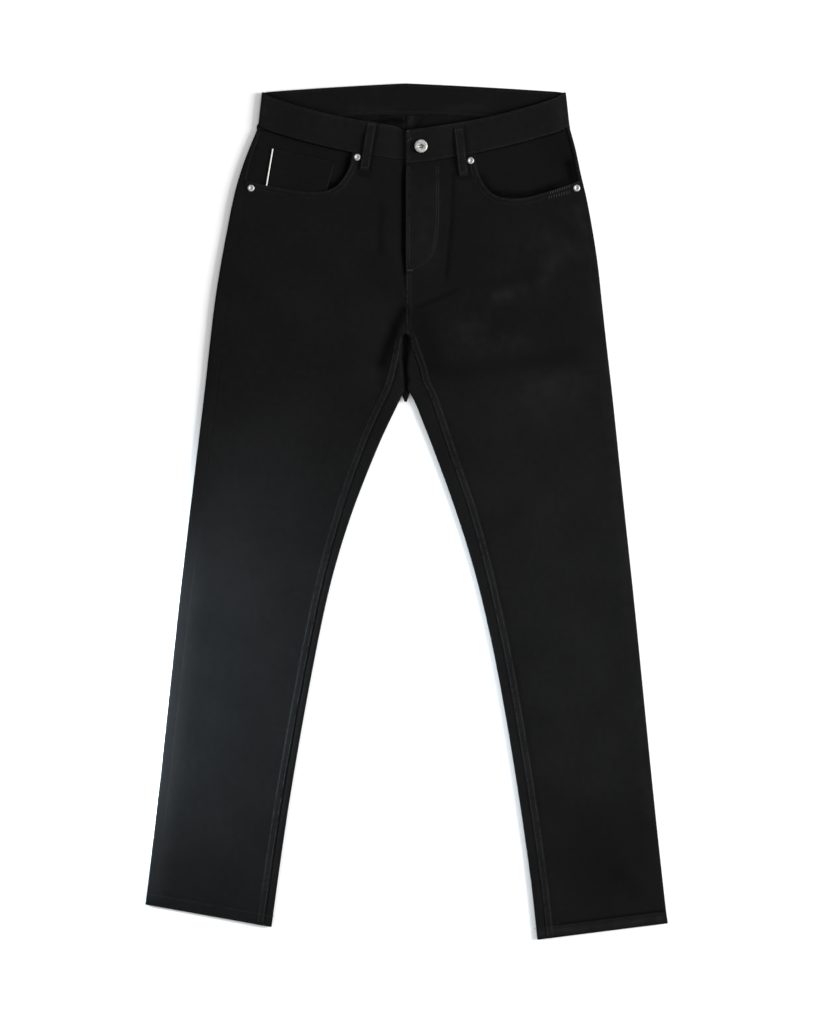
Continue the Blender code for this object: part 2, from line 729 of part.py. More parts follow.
def coin_pocket(material, edge_material):
    """The small pocket on the right facing, and the white selvedge that finishes its outer edge."""
    plan = []
    for i in range(COIN_ROWS + 1):
        left = mix_point(COIN_POCKET["top_left"], COIN_POCKET["low_left"], i / COIN_ROWS)
        right = mix_point(COIN_POCKET["top_right"], COIN_POCKET["low_right"], i / COIN_ROWS)
        plan.append([mix_point(left, right, share) for share in QUARTERS])

    def facing(x, y):
        return facing_height("right", x, y)

    def height(x, y):
        return highest(facing, x, y, COIN_REACH) + SEAM_GAP + DENIM

    flat_wall("coin_pocket", plan, height, DENIM, material)
    strip = []
    for (x, y), *_ in plan:
        strip.append([(x - SEAM_GAP - SELVEDGE, y), (x - SEAM_GAP, y)])
    flat_wall("coin_pocket_selvedge", strip, height, DENIM, edge_material)


def fly_shield(material):
    """The piece behind the zip, with one lower corner rounded."""
    x0, x1, y0, y1 = (SHIELD[key] for key in ("x0", "x1", "y0", "y1"))
    outline = [(x0, y1), (x0, y0), (x1 - SHIELD_CORNER, y0)]
    for degrees in (-60, -30, 0):
        turn = math.radians(degrees)
        outline.append((x1 + SHIELD_CORNER * (math.cos(turn) - 1), y0 + SHIELD_CORNER * (math.sin(turn) + 1)))
    flat_piece("fly_shield", outline + [(x1, y1)], SHIELD["z"], SHIELD["z"] + DENIM, material)


def fly_zip(tape_material, metal):
    """The zip's tapes with its chain as a raised strip, and the slider closed at the top."""
    middle = (ZIP["x0"] + ZIP["x1"]) / 2
    tape_top, chain_top = ZIP["z"] + ZIP["tape"], ZIP["z"] + ZIP["chain"]
    step = SEAM_GAP
    chain_x = middle - ZIP["half"]
    half_section = [(ZIP["x0"], tape_top), (chain_x - step, tape_top), (chain_x, chain_top)]
    section = half_section + [(2 * middle - x, z) for x, z in reversed(half_section)]
    upper = [[(x, y, z) for x, z in section] for y in (ZIP["y0"], ZIP_CHAIN_TOP_Y)]
    upper += [[(x, y, tape_top) for x, _ in section] for y in (ZIP_CHAIN_TOP_Y + step, ZIP["y1"])]
    lower = [[(x, y, ZIP["z"]) for x, y, _ in row] for row in upper]
    wall("zip", upper, lower, tape_material)

    body_low, pull_low = tape_top + SEAM_GAP, chain_top + SEAM_GAP
    upper, lower = [], []
    for row in SLIDER:
        edges = [(middle + s * row["half"], ZIP_CHAIN_TOP_Y + row["y"]) for s in (-1, 1)]
        upper.append([(x, y, pull_low + SLIDER_WALL) for x, y in edges])
        lower.append([(x, y, pull_low if row["raised"] else body_low) for x, y in edges])
    wall("zip_slider", upper, lower, metal)


def strap_plan(row, steps):
    """Plan points of a belt loop: rows along it, three points across."""
    top, low = Vector((row["top_x"], row["top_y"])), Vector((row["low_x"], row["low_y"]))
    along = (low - top).normalized()
    across = Vector((-along.y, along.x)) * LOOP_WIDTH / 2
    middles = [top.lerp(low, i / steps) for i in range(steps + 1)]
    return [[tuple(point + across * s) for s in (-1.0, 0.0, 1.0)] for point in middles]


def strap_outline(row):
    """The four corners of a strap, in order."""
    first, last = strap_plan(row, 1)
    return [first[0], first[-1], last[-1], last[0]]


def under_front_loop(side, x, y):
    """Height of what a front belt loop lies on: the waistband, the front, or the step between them."""
    seam_y = front_waist_y(side, x)
    step = smooth(y, seam_y - LOOP_STEP_START, seam_y - LOOP_STEP_END)
    return mix(surface(side, x, y), band_height(side, x), step)


def belt_loops(material):
    """Two loops on the front, which arch over the waistband, and three under the back."""
    for row in BELT_LOOPS_FRONT:
        side = "right" if row["top_x"] < 0 else "left"
        plan = strap_plan(row, LOOP_STEPS)
        upper = []

        def under(x, y):
            return highest(lambda u, v: under_front_loop(side, u, v), x, y, LOOP_REACH)

        for i, points in enumerate(plan):
            base = max(under(x, y) for x, y in points) + SEAM_GAP
            arch = LOOP_ARCH * math.sin(math.pi * i / LOOP_STEPS)
            upper.append([(x, y, base + arch + LOOP_WALL) for x, y in points])
        lower = [[(x, y, z - LOOP_WALL) for x, y, z in points] for points in upper]
        wall(row["name"], upper, lower, material)
    for row in BELT_LOOPS_BACK:
        flat_piece(row["name"], strap_outline(row), 0.0, SEAT_LIFT - SEAM_GAP, material)


def back_pocket(side, material):
    """A patch pocket under the seat, with a pointed lower edge."""
    x, top, half = BACK_POCKET_X[side], BACK_POCKET_TOP, BACK_POCKET_WIDTH / 2
    low, low_half = top - BACK_POCKET_HEIGHT, half * BACK_POCKET_TAPER
    point = (x, low - BACK_POCKET_POINT)
    outline = [(x - half, top), (x - low_half, low), point, (x + low_half, low), (x + half, top)]
    flat_piece(f"back_pocket_{side}", outline, 0.0, SEAT_LIFT - SEAM_GAP, material)


def turned(name, profile, x, y, base, steps, material):
    """A turned piece: profile gives radius and height, from the top of the axis down the outer side."""
    mesh = bpy.data.meshes.new(name)
    points = [(radius * MM, 0.0, height * MM) for radius, height in profile]
    mesh.from_pydata(points, [(i, i + 1) for i in range(len(points) - 1)], [])
    made = bpy.data.objects.new(name, mesh)
    made.data.materials.append(material)
    made.location = Vector((x, y, base)) * MM
    PARTS.objects.link(made)
    screw = made.modifiers.new("turn", "SCREW")
    screw.steps = screw.render_steps = steps
    screw.use_merge_vertices = True
    screw.merge_threshold = 0.01 * MM
    return made


# Radius and height, from the top of the axis down the outer side
BUTTON_PROFILE = [
    (0.0, 4.3), (1.5, 4.2), (2.2, 3.4), (3.1, 3.3), (4.0, 4.3), (6.2, 4.6), (8.0, 4.2),
    (8.7, 3.3), (8.2, 2.5), (3.6, 2.3), (3.4, 0.6), (4.6, 0.0), (0.0, 0.0),
]
RIVET_PROFILE = [
    (0.0, 1.2), (0.9, 1.1), (1.5, 0.6), (2.4, 1.4), (3.6, 1.5), (4.6, 0.7), (4.6, 0.0), (0.0, 0.0),
]


def hardware(metal):
    """The waist button on the band's left end, and a rivet at each end of both pocket mouths."""
    base = band_height("left", BUTTON_X) + SEAM_GAP
    turned("waist_button", BUTTON_PROFILE, BUTTON_X, BUTTON_Y, base, 24, metal)
    for row in HARDWARE:
        side = "right" if row["x"] < 0 else "left"
        base = highest(lambda x, y: surface(side, x, y), row["x"], row["y"], RIVET_PROFILE[-2][0]) + SEAM_GAP
        turned(row["name"], RIVET_PROFILE, row["x"], row["y"], base, 16, metal)


def new_collection(name):
    made = bpy.data.collections.new(name)
    bpy.context.scene.collection.children.link(made)
    return made


for leftover in list(bpy.data.objects):
    bpy.data.objects.remove(leftover)
PARTS = new_collection("selvedge jeans")
CUTTERS = new_collection("cutters")

denim = finish_material("black_denim", (0.012, 0.012, 0.013), 0.85)
white_edge = finish_material("white_selvedge", (0.78, 0.78, 0.76), 0.8)
tape = finish_material("black_zip_tape", (0.015, 0.015, 0.016), 0.8)
nickel = finish_material("brushed_nickel", (0.55, 0.55, 0.54), 0.35, 1.0)

for side in SIGN:
    front_panel(side, denim)
    back_panel(side, denim)
    yoke(side, denim)
    pocket_facing(side, denim)
    back_pocket(side, denim)
waistband(denim)
coin_pocket(denim, white_edge)
fly_shield(denim)
fly_zip(tape, nickel)
belt_loops(denim)
hardware(nickel)
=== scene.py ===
# %% [markdown]
# # Selvedge jeans, laid flat
#
# The imported model gives every sewn piece its place and its main shape: two fronts, two backs, two yokes,
# the waistband, pockets, belt loops, zip, button and rivets. The cells below turn those plain solids into
# cloth and metal. The frame is loaded once, and the finished jeans keep the size that the model gives them.

# %% Load the frame
import math

import bmesh
import bpy
import numpy as np
from mathutils import Matrix, Vector, noise
from mathutils.bvhtree import BVHTree
from mathutils.kdtree import KDTree


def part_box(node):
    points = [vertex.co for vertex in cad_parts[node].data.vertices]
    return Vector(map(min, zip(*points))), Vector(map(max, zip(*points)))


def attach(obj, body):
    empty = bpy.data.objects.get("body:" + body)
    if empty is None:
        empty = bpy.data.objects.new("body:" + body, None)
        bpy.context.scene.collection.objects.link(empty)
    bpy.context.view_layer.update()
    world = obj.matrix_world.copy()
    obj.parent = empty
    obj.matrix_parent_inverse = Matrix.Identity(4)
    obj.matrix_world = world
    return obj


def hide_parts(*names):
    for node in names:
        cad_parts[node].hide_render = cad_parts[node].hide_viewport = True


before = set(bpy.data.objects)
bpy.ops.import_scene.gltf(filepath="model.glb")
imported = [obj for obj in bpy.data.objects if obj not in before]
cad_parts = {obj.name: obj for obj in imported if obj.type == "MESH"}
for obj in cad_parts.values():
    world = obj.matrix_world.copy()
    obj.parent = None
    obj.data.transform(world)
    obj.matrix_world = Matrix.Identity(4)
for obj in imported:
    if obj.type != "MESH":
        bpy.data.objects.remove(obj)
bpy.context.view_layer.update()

MM = 0.001
print("pieces in the frame:", len(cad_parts))

# %% [markdown]
# ## The camera
#
# Flat-lay pictures are taken from straight above with a long lens, so that both legs keep their
# true width. One pixel of the picture is 1.33 mm on the cloth. That and the lens give the
# height of the camera: the picture's height on the cloth, times the focal length, divided by the
# sensor's height.

# %% Camera
PIXEL = 1.33 * MM
PICTURE_HEIGHT = 1024 * PIXEL
LENS = 85.0  # mm, as the sensor is
SENSOR = 36.0
CLOTH_TOP = 6.0 * MM
PICTURE_CENTRE = (3.7 * MM, -0.7 * MM)


def placed(name, data):
    """A new object in the scene."""
    thing = bpy.data.objects.new(name, data)
    bpy.context.scene.collection.objects.link(thing)
    return thing


camera = placed("camera", bpy.data.cameras.new("camera"))
camera.data.lens = LENS
camera.data.sensor_width = SENSOR
camera.location = (*PICTURE_CENTRE, CLOTH_TOP + PICTURE_HEIGHT * LENS / SENSOR)
bpy.context.scene.camera = camera
print("camera height in m:", round(camera.location.z, 3))

# %% [markdown]
# ## The table and the light
#
# The jeans lie on a white table. A white sky gives the even light of a studio, and one large
# soft box at the right makes the pale shadow at the left of each leg. The Standard view keeps
# the white of the table white. Black cloth shows little of its form, so the light has to come
# from one side more than from the others. A long cool lamp, low at the left, reflects from the
# shin of the wearer's right leg, as a window would.

# %% Table and lights
FLOOR_SIZE = 8.0
FLOOR_LEVEL = -0.4 * MM  # lower than the threads under the cloth
SKY_STRENGTH = 0.62
WHITE, COOL_WHITE = (1.0, 1.0, 1.0), (0.72, 0.88, 1.0)


def soft_box(name, place, aim, width, height, power, colour=WHITE):
    """A rectangular lamp at a place, turned towards a point."""
    lamp = placed(name, bpy.data.lights.new(name, "AREA"))
    lamp.data.shape = "RECTANGLE"
    lamp.data.size = width
    lamp.data.size_y = height
    lamp.data.energy = power
    lamp.data.color = colour
    lamp.location = place
    lamp.rotation_euler = (Vector(aim) - Vector(place)).to_track_quat("-Z", "Y").to_euler()
    return lamp


def mesh_from(work, name):
    """A finished bmesh as a mesh."""
    mesh = bpy.data.meshes.new(name)
    work.to_mesh(mesh)
    work.free()
    return mesh


bpy.context.scene.view_settings.view_transform = "Standard"
sky = bpy.data.worlds.new("studio")
sky.use_nodes = True
sky.node_tree.nodes["Background"].inputs["Color"].default_value = (*WHITE, 1.0)
sky.node_tree.nodes["Background"].inputs["Strength"].default_value = SKY_STRENGTH
bpy.context.scene.world = sky
soft_box("key", (4.0, 0.4, 1.9), (0.0, 0.0, 0.0), 1.4, 2.2, 285.0)
shin_light = soft_box("shin_light", (-0.6, -0.24, 0.14), (-0.24, -0.24, 0.0), 0.38, 0.06, 2.4, COOL_WHITE)
shin_light.data.spread = math.radians(75.0)

work = bmesh.new()
bmesh.ops.create_grid(work, x_segments=2, y_segments=2, size=FLOOR_SIZE / 2)
bmesh.ops.translate(work, verts=work.verts[:], vec=(0.0, 0.0, FLOOR_LEVEL))
floor = placed("table", mesh_from(work, "table"))

# %% [markdown]
# ## Finishes
#
# A colour is written as the sRGB hex that a colour picker shows, and one function turns it to
# the linear values that a shader works with. A second small function adds a node: it takes the
# node's kind, its own settings, the values of its inputs and the outputs that feed it. Every
# material below is built with those two.

# %% Colour and node helpers
def linear(colour):
    """An sRGB hex colour as linear red, green, blue and alpha."""
    parts = [int(colour[i:i + 2], 16) / 255 for i in (1, 3, 5)]
    return (*[p / 12.92 if p <= 0.04045 else ((p + 0.055) / 1.055) ** 2.4 for p in parts], 1.0)


def add_node(tree, kind, settings=None, values=None, links=None):
    """Adds a node. values and links are keyed by the input's name or number."""
    node = tree.nodes.new(kind)
    for name, value in (settings or {}).items():
        setattr(node, name, value)
    for key, value in (values or {}).items():
        node.inputs[key].default_value = value
    for key, output in (links or {}).items():
        tree.links.new(output, node.inputs[key])
    return node


def new_material(name):
    """An empty node material and its shader."""
    material = bpy.data.materials.new(name)
    material.use_nodes = True
    return material, material.node_tree, material.node_tree.nodes["Principled BSDF"]


def colour_between(tree, factor, dark, light, low=0.3, high=0.7, beyond=()):
    """A colour that goes from dark to light as the factor goes from low to high, with others beyond."""
    ramp = add_node(tree, "ShaderNodeValToRGB", links={"Fac": factor})
    ramp.color_ramp.elements[0].position = low
    ramp.color_ramp.elements[0].color = linear(dark)
    ramp.color_ramp.elements[1].position = high
    ramp.color_ramp.elements[1].color = linear(light)
    for position, colour in beyond:
        ramp.color_ramp.elements.new(position).color = linear(colour)
    return ramp.outputs["Color"]


TABLE_WHITE = linear("#fdfdfd")
floor_material, tree, shader = new_material("matt_white_table")
shader.inputs["Base Color"].default_value = TABLE_WHITE
shader.inputs["Roughness"].default_value = 0.9
shader.inputs["Specular IOR Level"].default_value = 0.1
floor.data.materials.append(floor_material)
print("table white:", [round(v, 3) for v in TABLE_WHITE[:3]])

# %% [markdown]
# ## Black selvedge denim
#
# Denim is a 3/1 twill: each warp yarn floats over three weft yarns, one step further along in
# each row, which draws fine diagonal ribs. Selvedge denim is woven slowly on narrow looms, and
# its warp yarns vary in thickness, so thin streaks run along the leg. Dyed black in warp and
# weft, it is very dark and almost without shine. The real ribs are about 0.7 mm apart, finer
# than a pixel of the picture, so they are drawn 1.5 mm apart. The pattern reads a UV map in
# metres that follows the grain of each leg, so the ribs turn with the leg as in the cut cloth.
# A number on each point of the cloth, from 0 for deep black to 1 for grey, holds how far the dye has rubbed
# off together with painted shade where shade falls and painted highlights.

# %% Denim
TWILL_PITCH = 1.5 * MM
WAVE_PERIOD = 2 * math.pi / (10 * math.sqrt(2))  # of a diagonal Wave Texture at scale 1, in metres
STREAKS = (900.0, 22.0, 1.0)  # close together across the leg, and long along it
# The darkest black is reached under painted shade, the lightest grey on rubbed dye and painted highlights.
SHADE_BLACK, RUBBED_AND_HIGHLIGHT_GREY = "#020202", "#1f1f20"


def denim(name, dark, light, rough_hand):
    """Black twill. rough_hand is how deep the small unevenness of the cloth is, in metres."""
    material, tree, shader = new_material(name)
    grain = add_node(tree, "ShaderNodeUVMap", {"uv_map": "grain"}).outputs["UV"]
    streaks = add_node(tree, "ShaderNodeMapping", values={"Scale": STREAKS}, links={"Vector": grain})
    slub = add_node(tree, "ShaderNodeTexNoise", values={"Scale": 1.0, "Detail": 2.0},
                    links={"Vector": streaks.outputs["Vector"]})
    patches = add_node(tree, "ShaderNodeTexNoise", values={"Scale": 16.0, "Detail": 5.0, "Roughness": 0.6},
                       links={"Vector": grain})
    # Rubbed dye, painted shade and painted highlights, read from the points of the cloth
    fade_and_painted_light = add_node(tree, "ShaderNodeAttribute", {"attribute_name": "fade_and_painted_light"})
    mixed = fade_and_painted_light.outputs["Fac"]
    for pattern, share in ((slub, 0.09), (patches, 0.11)):
        weighted = add_node(tree, "ShaderNodeMath", {"operation": "MULTIPLY_ADD"},
                            {1: share, 2: -share / 2}, {0: pattern.outputs["Fac"]})
        mixed = add_node(tree, "ShaderNodeMath", {"operation": "ADD"},
                         links={0: mixed, 1: weighted.outputs["Value"]}).outputs["Value"]
    beyond = ((0.0, SHADE_BLACK), (1.0, RUBBED_AND_HIGHLIGHT_GREY))
    colour = colour_between(tree, mixed, dark, light, 0.46, 0.54, beyond)
    tree.links.new(colour, shader.inputs["Base Color"])
    twill = add_node(tree, "ShaderNodeTexWave", {"bands_direction": "DIAGONAL"},
                     {"Scale": WAVE_PERIOD / TWILL_PITCH, "Distortion": 0.6, "Detail": 1.0,
                      "Detail Scale": 2.0},
                     {"Vector": grain})
    hand = add_node(tree, "ShaderNodeTexNoise", values={"Scale": 95.0, "Detail": 4.0, "Roughness": 0.55},
                    links={"Vector": grain})
    soft = add_node(tree, "ShaderNodeBump", values={"Strength": 1.0, "Distance": rough_hand},
                    links={"Height": hand.outputs["Fac"]})
    ribs = add_node(tree, "ShaderNodeBump", values={"Strength": 0.7, "Distance": 0.08 * MM},
                    links={"Height": twill.outputs["Fac"], "Normal": soft.outputs["Normal"]})
    tree.links.new(ribs.outputs["Normal"], shader.inputs["Normal"])
    shader.inputs["Roughness"].default_value = 0.92
    shader.inputs["Specular IOR Level"].default_value = 0.05
    shader.inputs["Sheen Weight"].default_value = 0.03
    shader.inputs["Sheen Roughness"].default_value = 0.35
    return material


cloth_black = denim("black_selvedge_denim", "#0f0f0f", "#121212", 0.35 * MM)
cloth_seam = denim("black_denim_at_seams", "#111111", "#161616", 0.6 * MM)
# Lighter turned edges: rubbed dye and a painted highlight on the rounded edge
cloth_edge = denim("black_denim_worn_and_highlighted_edge", "#151515", "#1e1e1e", 0.3 * MM)
print("denim ribs every", TWILL_PITCH * 1000, "mm")

# %% [markdown]
# ## Thread, tape, selvedge and nickel
#
# The jeans are sewn with black polyester thread, a little glossier than the cloth, which is why
# the rows of stitches still show. The coin pocket keeps a strip of the loom's self-finished edge,
# woven in undyed white cotton. The zip's tape is black polyester in a herringbone weave. Button
# and rivets are steel with a dull nickel plate: pale, metallic, with small rubbed patches.

# %% Small finishes
NOISE, WAVE = "ShaderNodeTexNoise", "ShaderNodeTexWave"
YARN_PITCH = 1.2 * MM  # of the selvedge and of the tape; real ones are finer than a pixel
STRAIGHT_PERIOD = 0.314  # of a Wave Texture with straight bands at scale 1, in metres


def patterned(name, kind, settings, values, colours, sockets, relief=None, gloss=None):
    """A finish with a pattern in the piece's own place.

    colours are two colours and, where it isn't the usual one, the span of the pattern between them.
    relief is the strength and depth of a bump, and gloss the least and most roughness.
    """
    material, tree, shader = new_material(name)
    place = add_node(tree, "ShaderNodeTexCoord").outputs["Object"]
    pattern = add_node(tree, kind, settings, values, {"Vector": place}).outputs["Fac"]
    tree.links.new(colour_between(tree, pattern, *colours), shader.inputs["Base Color"])
    if relief:
        bump = add_node(tree, "ShaderNodeBump", values={"Strength": relief[0], "Distance": relief[1]},
                        links={"Height": pattern})
        tree.links.new(bump.outputs["Normal"], shader.inputs["Normal"])
    if gloss:
        worn = add_node(tree, "ShaderNodeMapRange", values={"To Min": gloss[0], "To Max": gloss[1]},
                        links={"Value": pattern})
        tree.links.new(worn.outputs["Result"], shader.inputs["Roughness"])
    for socket, value in sockets.items():
        shader.inputs[socket].default_value = value
    return material


thread_black = patterned("black_sewing_thread", NOISE, None, {"Scale": 900.0, "Detail": 2.0},
                         ("#161617", "#232324"), {"Roughness": 0.55, "Specular IOR Level": 0.3},
                         relief=(0.6, 0.05 * MM))
edge_white = patterned("undyed_cotton_selvedge", WAVE, {"bands_direction": "Y"},
                       {"Scale": STRAIGHT_PERIOD / YARN_PITCH, "Distortion": 0.8},
                       ("#c9c7c1", "#efeee9", 0.1, 0.9), {"Roughness": 0.85}, relief=(0.8, 0.12 * MM))
tape_black = patterned("black_polyester_tape", WAVE, {"bands_direction": "DIAGONAL"},
                       {"Scale": WAVE_PERIOD / YARN_PITCH}, ("#121213", "#202021", 0.1, 0.9),
                       {"Roughness": 0.7}, relief=(0.7, 0.1 * MM))
nickel = patterned("dull_nickel_plate", NOISE, None, {"Scale": 420.0, "Detail": 4.0},
                   ("#9b9a98", "#d6d5d3"), {"Metallic": 1.0}, gloss=(0.5, 0.7))
print("finishes:", [m.name for m in bpy.data.materials if m.users])

# %% [markdown]
# ## The lines of the seams
#
# Folds, seams and threads all follow the lines along which the pieces are sewn. Those lines are
# read off the solids: a cut through a piece at one height gives its two ends, and a row of such
# cuts gives the edge that the next piece is sewn to. Only the pocket mouths and the curved row of
# the fly are given as points, in mm.

# %% Edges of the pieces
solid_edges = {}


def points_of(mesh):
    """The mesh's points in mm."""
    flat = np.zeros(len(mesh.vertices) * 3)
    mesh.vertices.foreach_get("co", flat)
    return flat.reshape(-1, 3) / MM


def ends(node, axis, at, above=-1.0, below=99.0):
    """The lowest and highest place along the other axis where a piece is cut at x or y, in mm."""
    if node not in solid_edges:
        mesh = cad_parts[node].data
        pairs = np.zeros(len(mesh.edges) * 2, int)
        mesh.edges.foreach_get("vertices", pairs)
        solid_edges[node] = points_of(mesh)[pairs.reshape(-1, 2)]
    pairs = solid_edges[node]
    one, other = (0, 1) if axis == "x" else (1, 0)
    kept = (pairs[:, :, 2].min(1) > above) & (pairs[:, :, 2].max(1) < below)
    a, b = pairs[kept, 0], pairs[kept, 1]
    crosses = (a[:, one] - at) * (b[:, one] - at) <= 0.0
    a, b = a[crosses], b[crosses]
    span = b[:, one] - a[:, one]
    flat = np.abs(span) < 1e-6
    share = np.where(flat, 0.0, (at - a[:, one]) / np.where(flat, 1.0, span))
    places = a[:, other] + share * (b[:, other] - a[:, other])
    return float(places.min()), float(places.max())


def edge_line(node, axis, start, end, steps, which, **level):
    """A piece's edge as points in mm: the lower (0) or higher (1) end of a row of cuts."""
    line = []
    for i in range(steps + 1):
        at = start + (end - start) * i / steps
        place = ends(node, axis, at, **level)[which]
        line.append((at, place) if axis == "x" else (place, at))
    return line


def evenly(line, step):
    """Points at equal steps along a line."""
    line = [Vector(p) for p in line]
    lengths = [0.0]
    for a, b in zip(line, line[1:]):
        lengths.append(lengths[-1] + (b - a).length)
    count = max(1, round(lengths[-1] / step))
    wanted = np.linspace(0.0, lengths[-1], count + 1)
    xs = np.interp(wanted, lengths, [p.x for p in line])
    ys = np.interp(wanted, lengths, [p.y for p in line])
    return [Vector(p) for p in zip(xs, ys)]


def beside(line, distance):
    """The line moved sideways in mm, to the left of its direction."""
    line = [Vector(p) for p in line]
    moved = []
    for i, point in enumerate(line):
        along = (line[min(i + 1, len(line) - 1)] - line[max(i - 1, 0)]).normalized()
        moved.append(point + Vector((-along.y, along.x)) * distance)
    return moved


def rounded(line, passes=2):
    """Corners cut twice, so that a line of a few points becomes a curve."""
    line = [Vector(p) for p in line]
    for _ in range(passes):
        cut = [line[0]]
        for a, b in zip(line, line[1:]):
            cut += [a.lerp(b, 0.25), a.lerp(b, 0.75)]
        line = cut + [line[-1]]
    return line


# %% Seam lines
CENTRE_X = -1.5
FRONT_LEVEL = 3.65  # mm; the front waistband is above it, the back waistband below
LEFT_END_LEVEL = 6.5  # mm; of the band's two ends at the button, the left one is above it
inseam = {
    "right": edge_line("front_panel_right", "y", -547, 229, 110, 1),
    "left": edge_line("front_panel_left", "y", -565, 229, 110, 0),
}
outseam = {
    "right": edge_line("front_panel_right", "y", -520, 432, 90, 0),
    "left": edge_line("front_panel_left", "y", -545, 428, 90, 1),
}
hip_seam = {
    "right": edge_line("pocket_facing_right", "y", 446, 506, 8, 0),
    "left": edge_line("pocket_facing_left", "y", 446, 505, 8, 1),
}
waist_seam, band_top = [{
    "right": edge_line("waistband", "x", -190, -5, 24, which, above=FRONT_LEVEL),
    "left": (edge_line("waistband", "x", 1, 36, 5, which, above=LEFT_END_LEVEL)
             + edge_line("waistband", "x", 44, 207, 20, which, above=FRONT_LEVEL)),
} for which in (0, 1)]
band_back_low, band_back_top = [edge_line("waistband", "x", -180, 195, 40, which, below=FRONT_LEVEL)
                                for which in (0, 1)]
pocket_mouth = {
    "right": rounded([(-72.5, 470), (-74, 464), (-77, 456), (-83.5, 443.5), (-93.5, 432.5), (-106.5, 426),
                      (-122, 424), (-138.5, 425), (-157.5, 428), (-188, 433.5), (-213, 439)]),
    "left": rounded([(91.2, 468), (92.8, 458), (96.5, 445), (103.5, 432.5), (113.5, 422.5), (127, 416.5),
                     (144, 415.5), (161, 417.5), (186, 424.5), (211.5, 433), (229, 439.5)]),
}
fly_curve = rounded([(42, 459), (42.5, 430), (42.5, 400), (41.5, 372), (38, 350), (30, 333), (15, 324),
                     (1.5, 321)])
print("waist seam from x", round(waist_seam["right"][0][0]), "to", round(waist_seam["left"][-1][0]), "mm")

# %% [markdown]
# ## Soft folds
#
# Cloth that lies flat isn't flat: it keeps shallow folds from being worn and carried. The model
# has the largest ones. The finer ones are added here as one height field over the plan, so that
# layers which lie on each other move together and never cut through one another. Each fold is a
# soft ridge or trough along a short line. Noise with waves of about 80 mm and 25 mm keeps the
# rest from looking ironed. The underside rests on the table, so its folds only rise.

# %% Height field of the folds
FRONT_FOLDS = [  # from x, y to x, y; rise and spread, all in mm
    (61, 452, 59, 385, -0.8, 3),
    (59, 385, 51, 308, -1, 3),
    (-36, 400, -37, 345, -0.8, 5),
    (-30, 340, -12, 285, -0.5, 8),
    (10, 271, 66, 294, -0.9, 3.5),
    (20, 262, 40, 190, -1.2, 11),
    (-8, 268, -22, 240, -0.9, 6),
    (-22, 240, -40, 175, -1.3, 8),
    (50, 215, 160, 250, 0.7, 13),
    (66, 168, 172, 186, -1, 11),
    (90, 150, 215, 160, 0.6, 14),
    (105, 268, 170, 305, 1.1, 12),
    (95, 300, 150, 330, -0.7, 13),
    (180, 290, 226, 318, 0.8, 10),
    (165, 355, 235, 342, 0.7, 13),
    (150, 228, 232, 246, -0.7, 14),
    (152, -200, 225, -205, -0.6, 4),
    (284, -486, 300, -505, -0.8, 12),
    (230, -430, 300, -470, -0.5, 16),
    (-300, -470, -215, -500, -0.6, 14),
    (-250, -150, -180, -175, -0.5, 14),
    (-235, 318, -160, 300, -0.6, 12),
    (-225, 214, -130, 196, 0.6, 18),
]
BACK_FOLDS = [  # under the knees and the seat
    (-40, 240, -80, 165, 0.7, 9),
    (38, 240, 82, 160, 0.7, 9),
    (-120, 20, -250, -20, 0.8, 10),
    (-130, -40, -262, -85, 0.6, 9),
    (115, 30, 240, -10, 0.8, 10),
    (125, -35, 262, -75, 0.6, 9),
    (-90, 232, -210, 250, 0.5, 12),
    (85, 235, 200, 252, 0.5, 12),
]


def smooth(value, low, high):
    """0 below low and 1 above high, with a soft change between. Works on arrays."""
    t = np.clip((np.asarray(value, float) - low) / (high - low), 0.0, 1.0)
    return t * t * (3.0 - 2.0 * t)


def fold_height(x, y, folds):
    """Sum of the folds at points given in mm."""
    total = np.zeros_like(x)
    for x0, y0, x1, y1, rise, spread in folds:
        dx, dy = x1 - x0, y1 - y0
        t = np.clip(((x - x0) * dx + (y - y0) * dy) / (dx * dx + dy * dy), 0.0, 1.0)
        away = np.hypot(x - x0 - t * dx, y - y0 - t * dy) / spread
        total += rise * np.exp(-away * away)
    return total


def unevenness(x, y, wave, seed):
    """Smooth noise from -1 to 1 whose waves are about that long, in mm. Each seed has its own pattern."""
    return np.array([noise.noise(Vector((a / wave, b / wave, seed))) for a, b in zip(x, y)])


def line_height(x, y, line, rise, spread):
    """A ridge or trough along a line of many points."""
    nearest = np.full_like(x, 1e9)
    points = [Vector(p) for p in line]
    for a, b in zip(points, points[1:]):
        dx, dy = b.x - a.x, b.y - a.y
        t = np.clip(((x - a.x) * dx + (y - a.y) * dy) / max(dx * dx + dy * dy, 1e-9), 0.0, 1.0)
        nearest = np.minimum(nearest, (x - a.x - t * dx) ** 2 + (y - a.y - t * dy) ** 2)
    return rise * np.exp(-nearest / spread ** 2)


SEAM_DITCHES = [  # line, depth and spread in mm: the thread pulls the cloth down along a seam
    (inseam["right"][::3], -0.55, 1.7),
    (inseam["left"][::3], -0.55, 1.7),
    (outseam["right"][::3], -0.15, 1.5),
    (outseam["left"][::3], -0.15, 1.5),
    (waist_seam["right"], -0.4, 1.5),
    (waist_seam["left"], -0.4, 1.5),
    ([(-343, -507), (-176, -537)], -0.5, 1.6),
    ([(342, -532), (168, -554)], -0.5, 1.6),
]


def front_height(x, y):
    """How far the front of the cloth moves up, in mm."""
    calm = 1.0 - 0.75 * smooth(y, 420.0, 470.0)
    loose = 0.5 * unevenness(x, y, 80.0, 3.1) + 0.2 * unevenness(x, y, 26.0, 8.7)
    total = (fold_height(x, y, FRONT_FOLDS) + loose) * calm
    for line, rise, spread in SEAM_DITCHES:
        total += line_height(x, y, line, rise, spread)
    return total


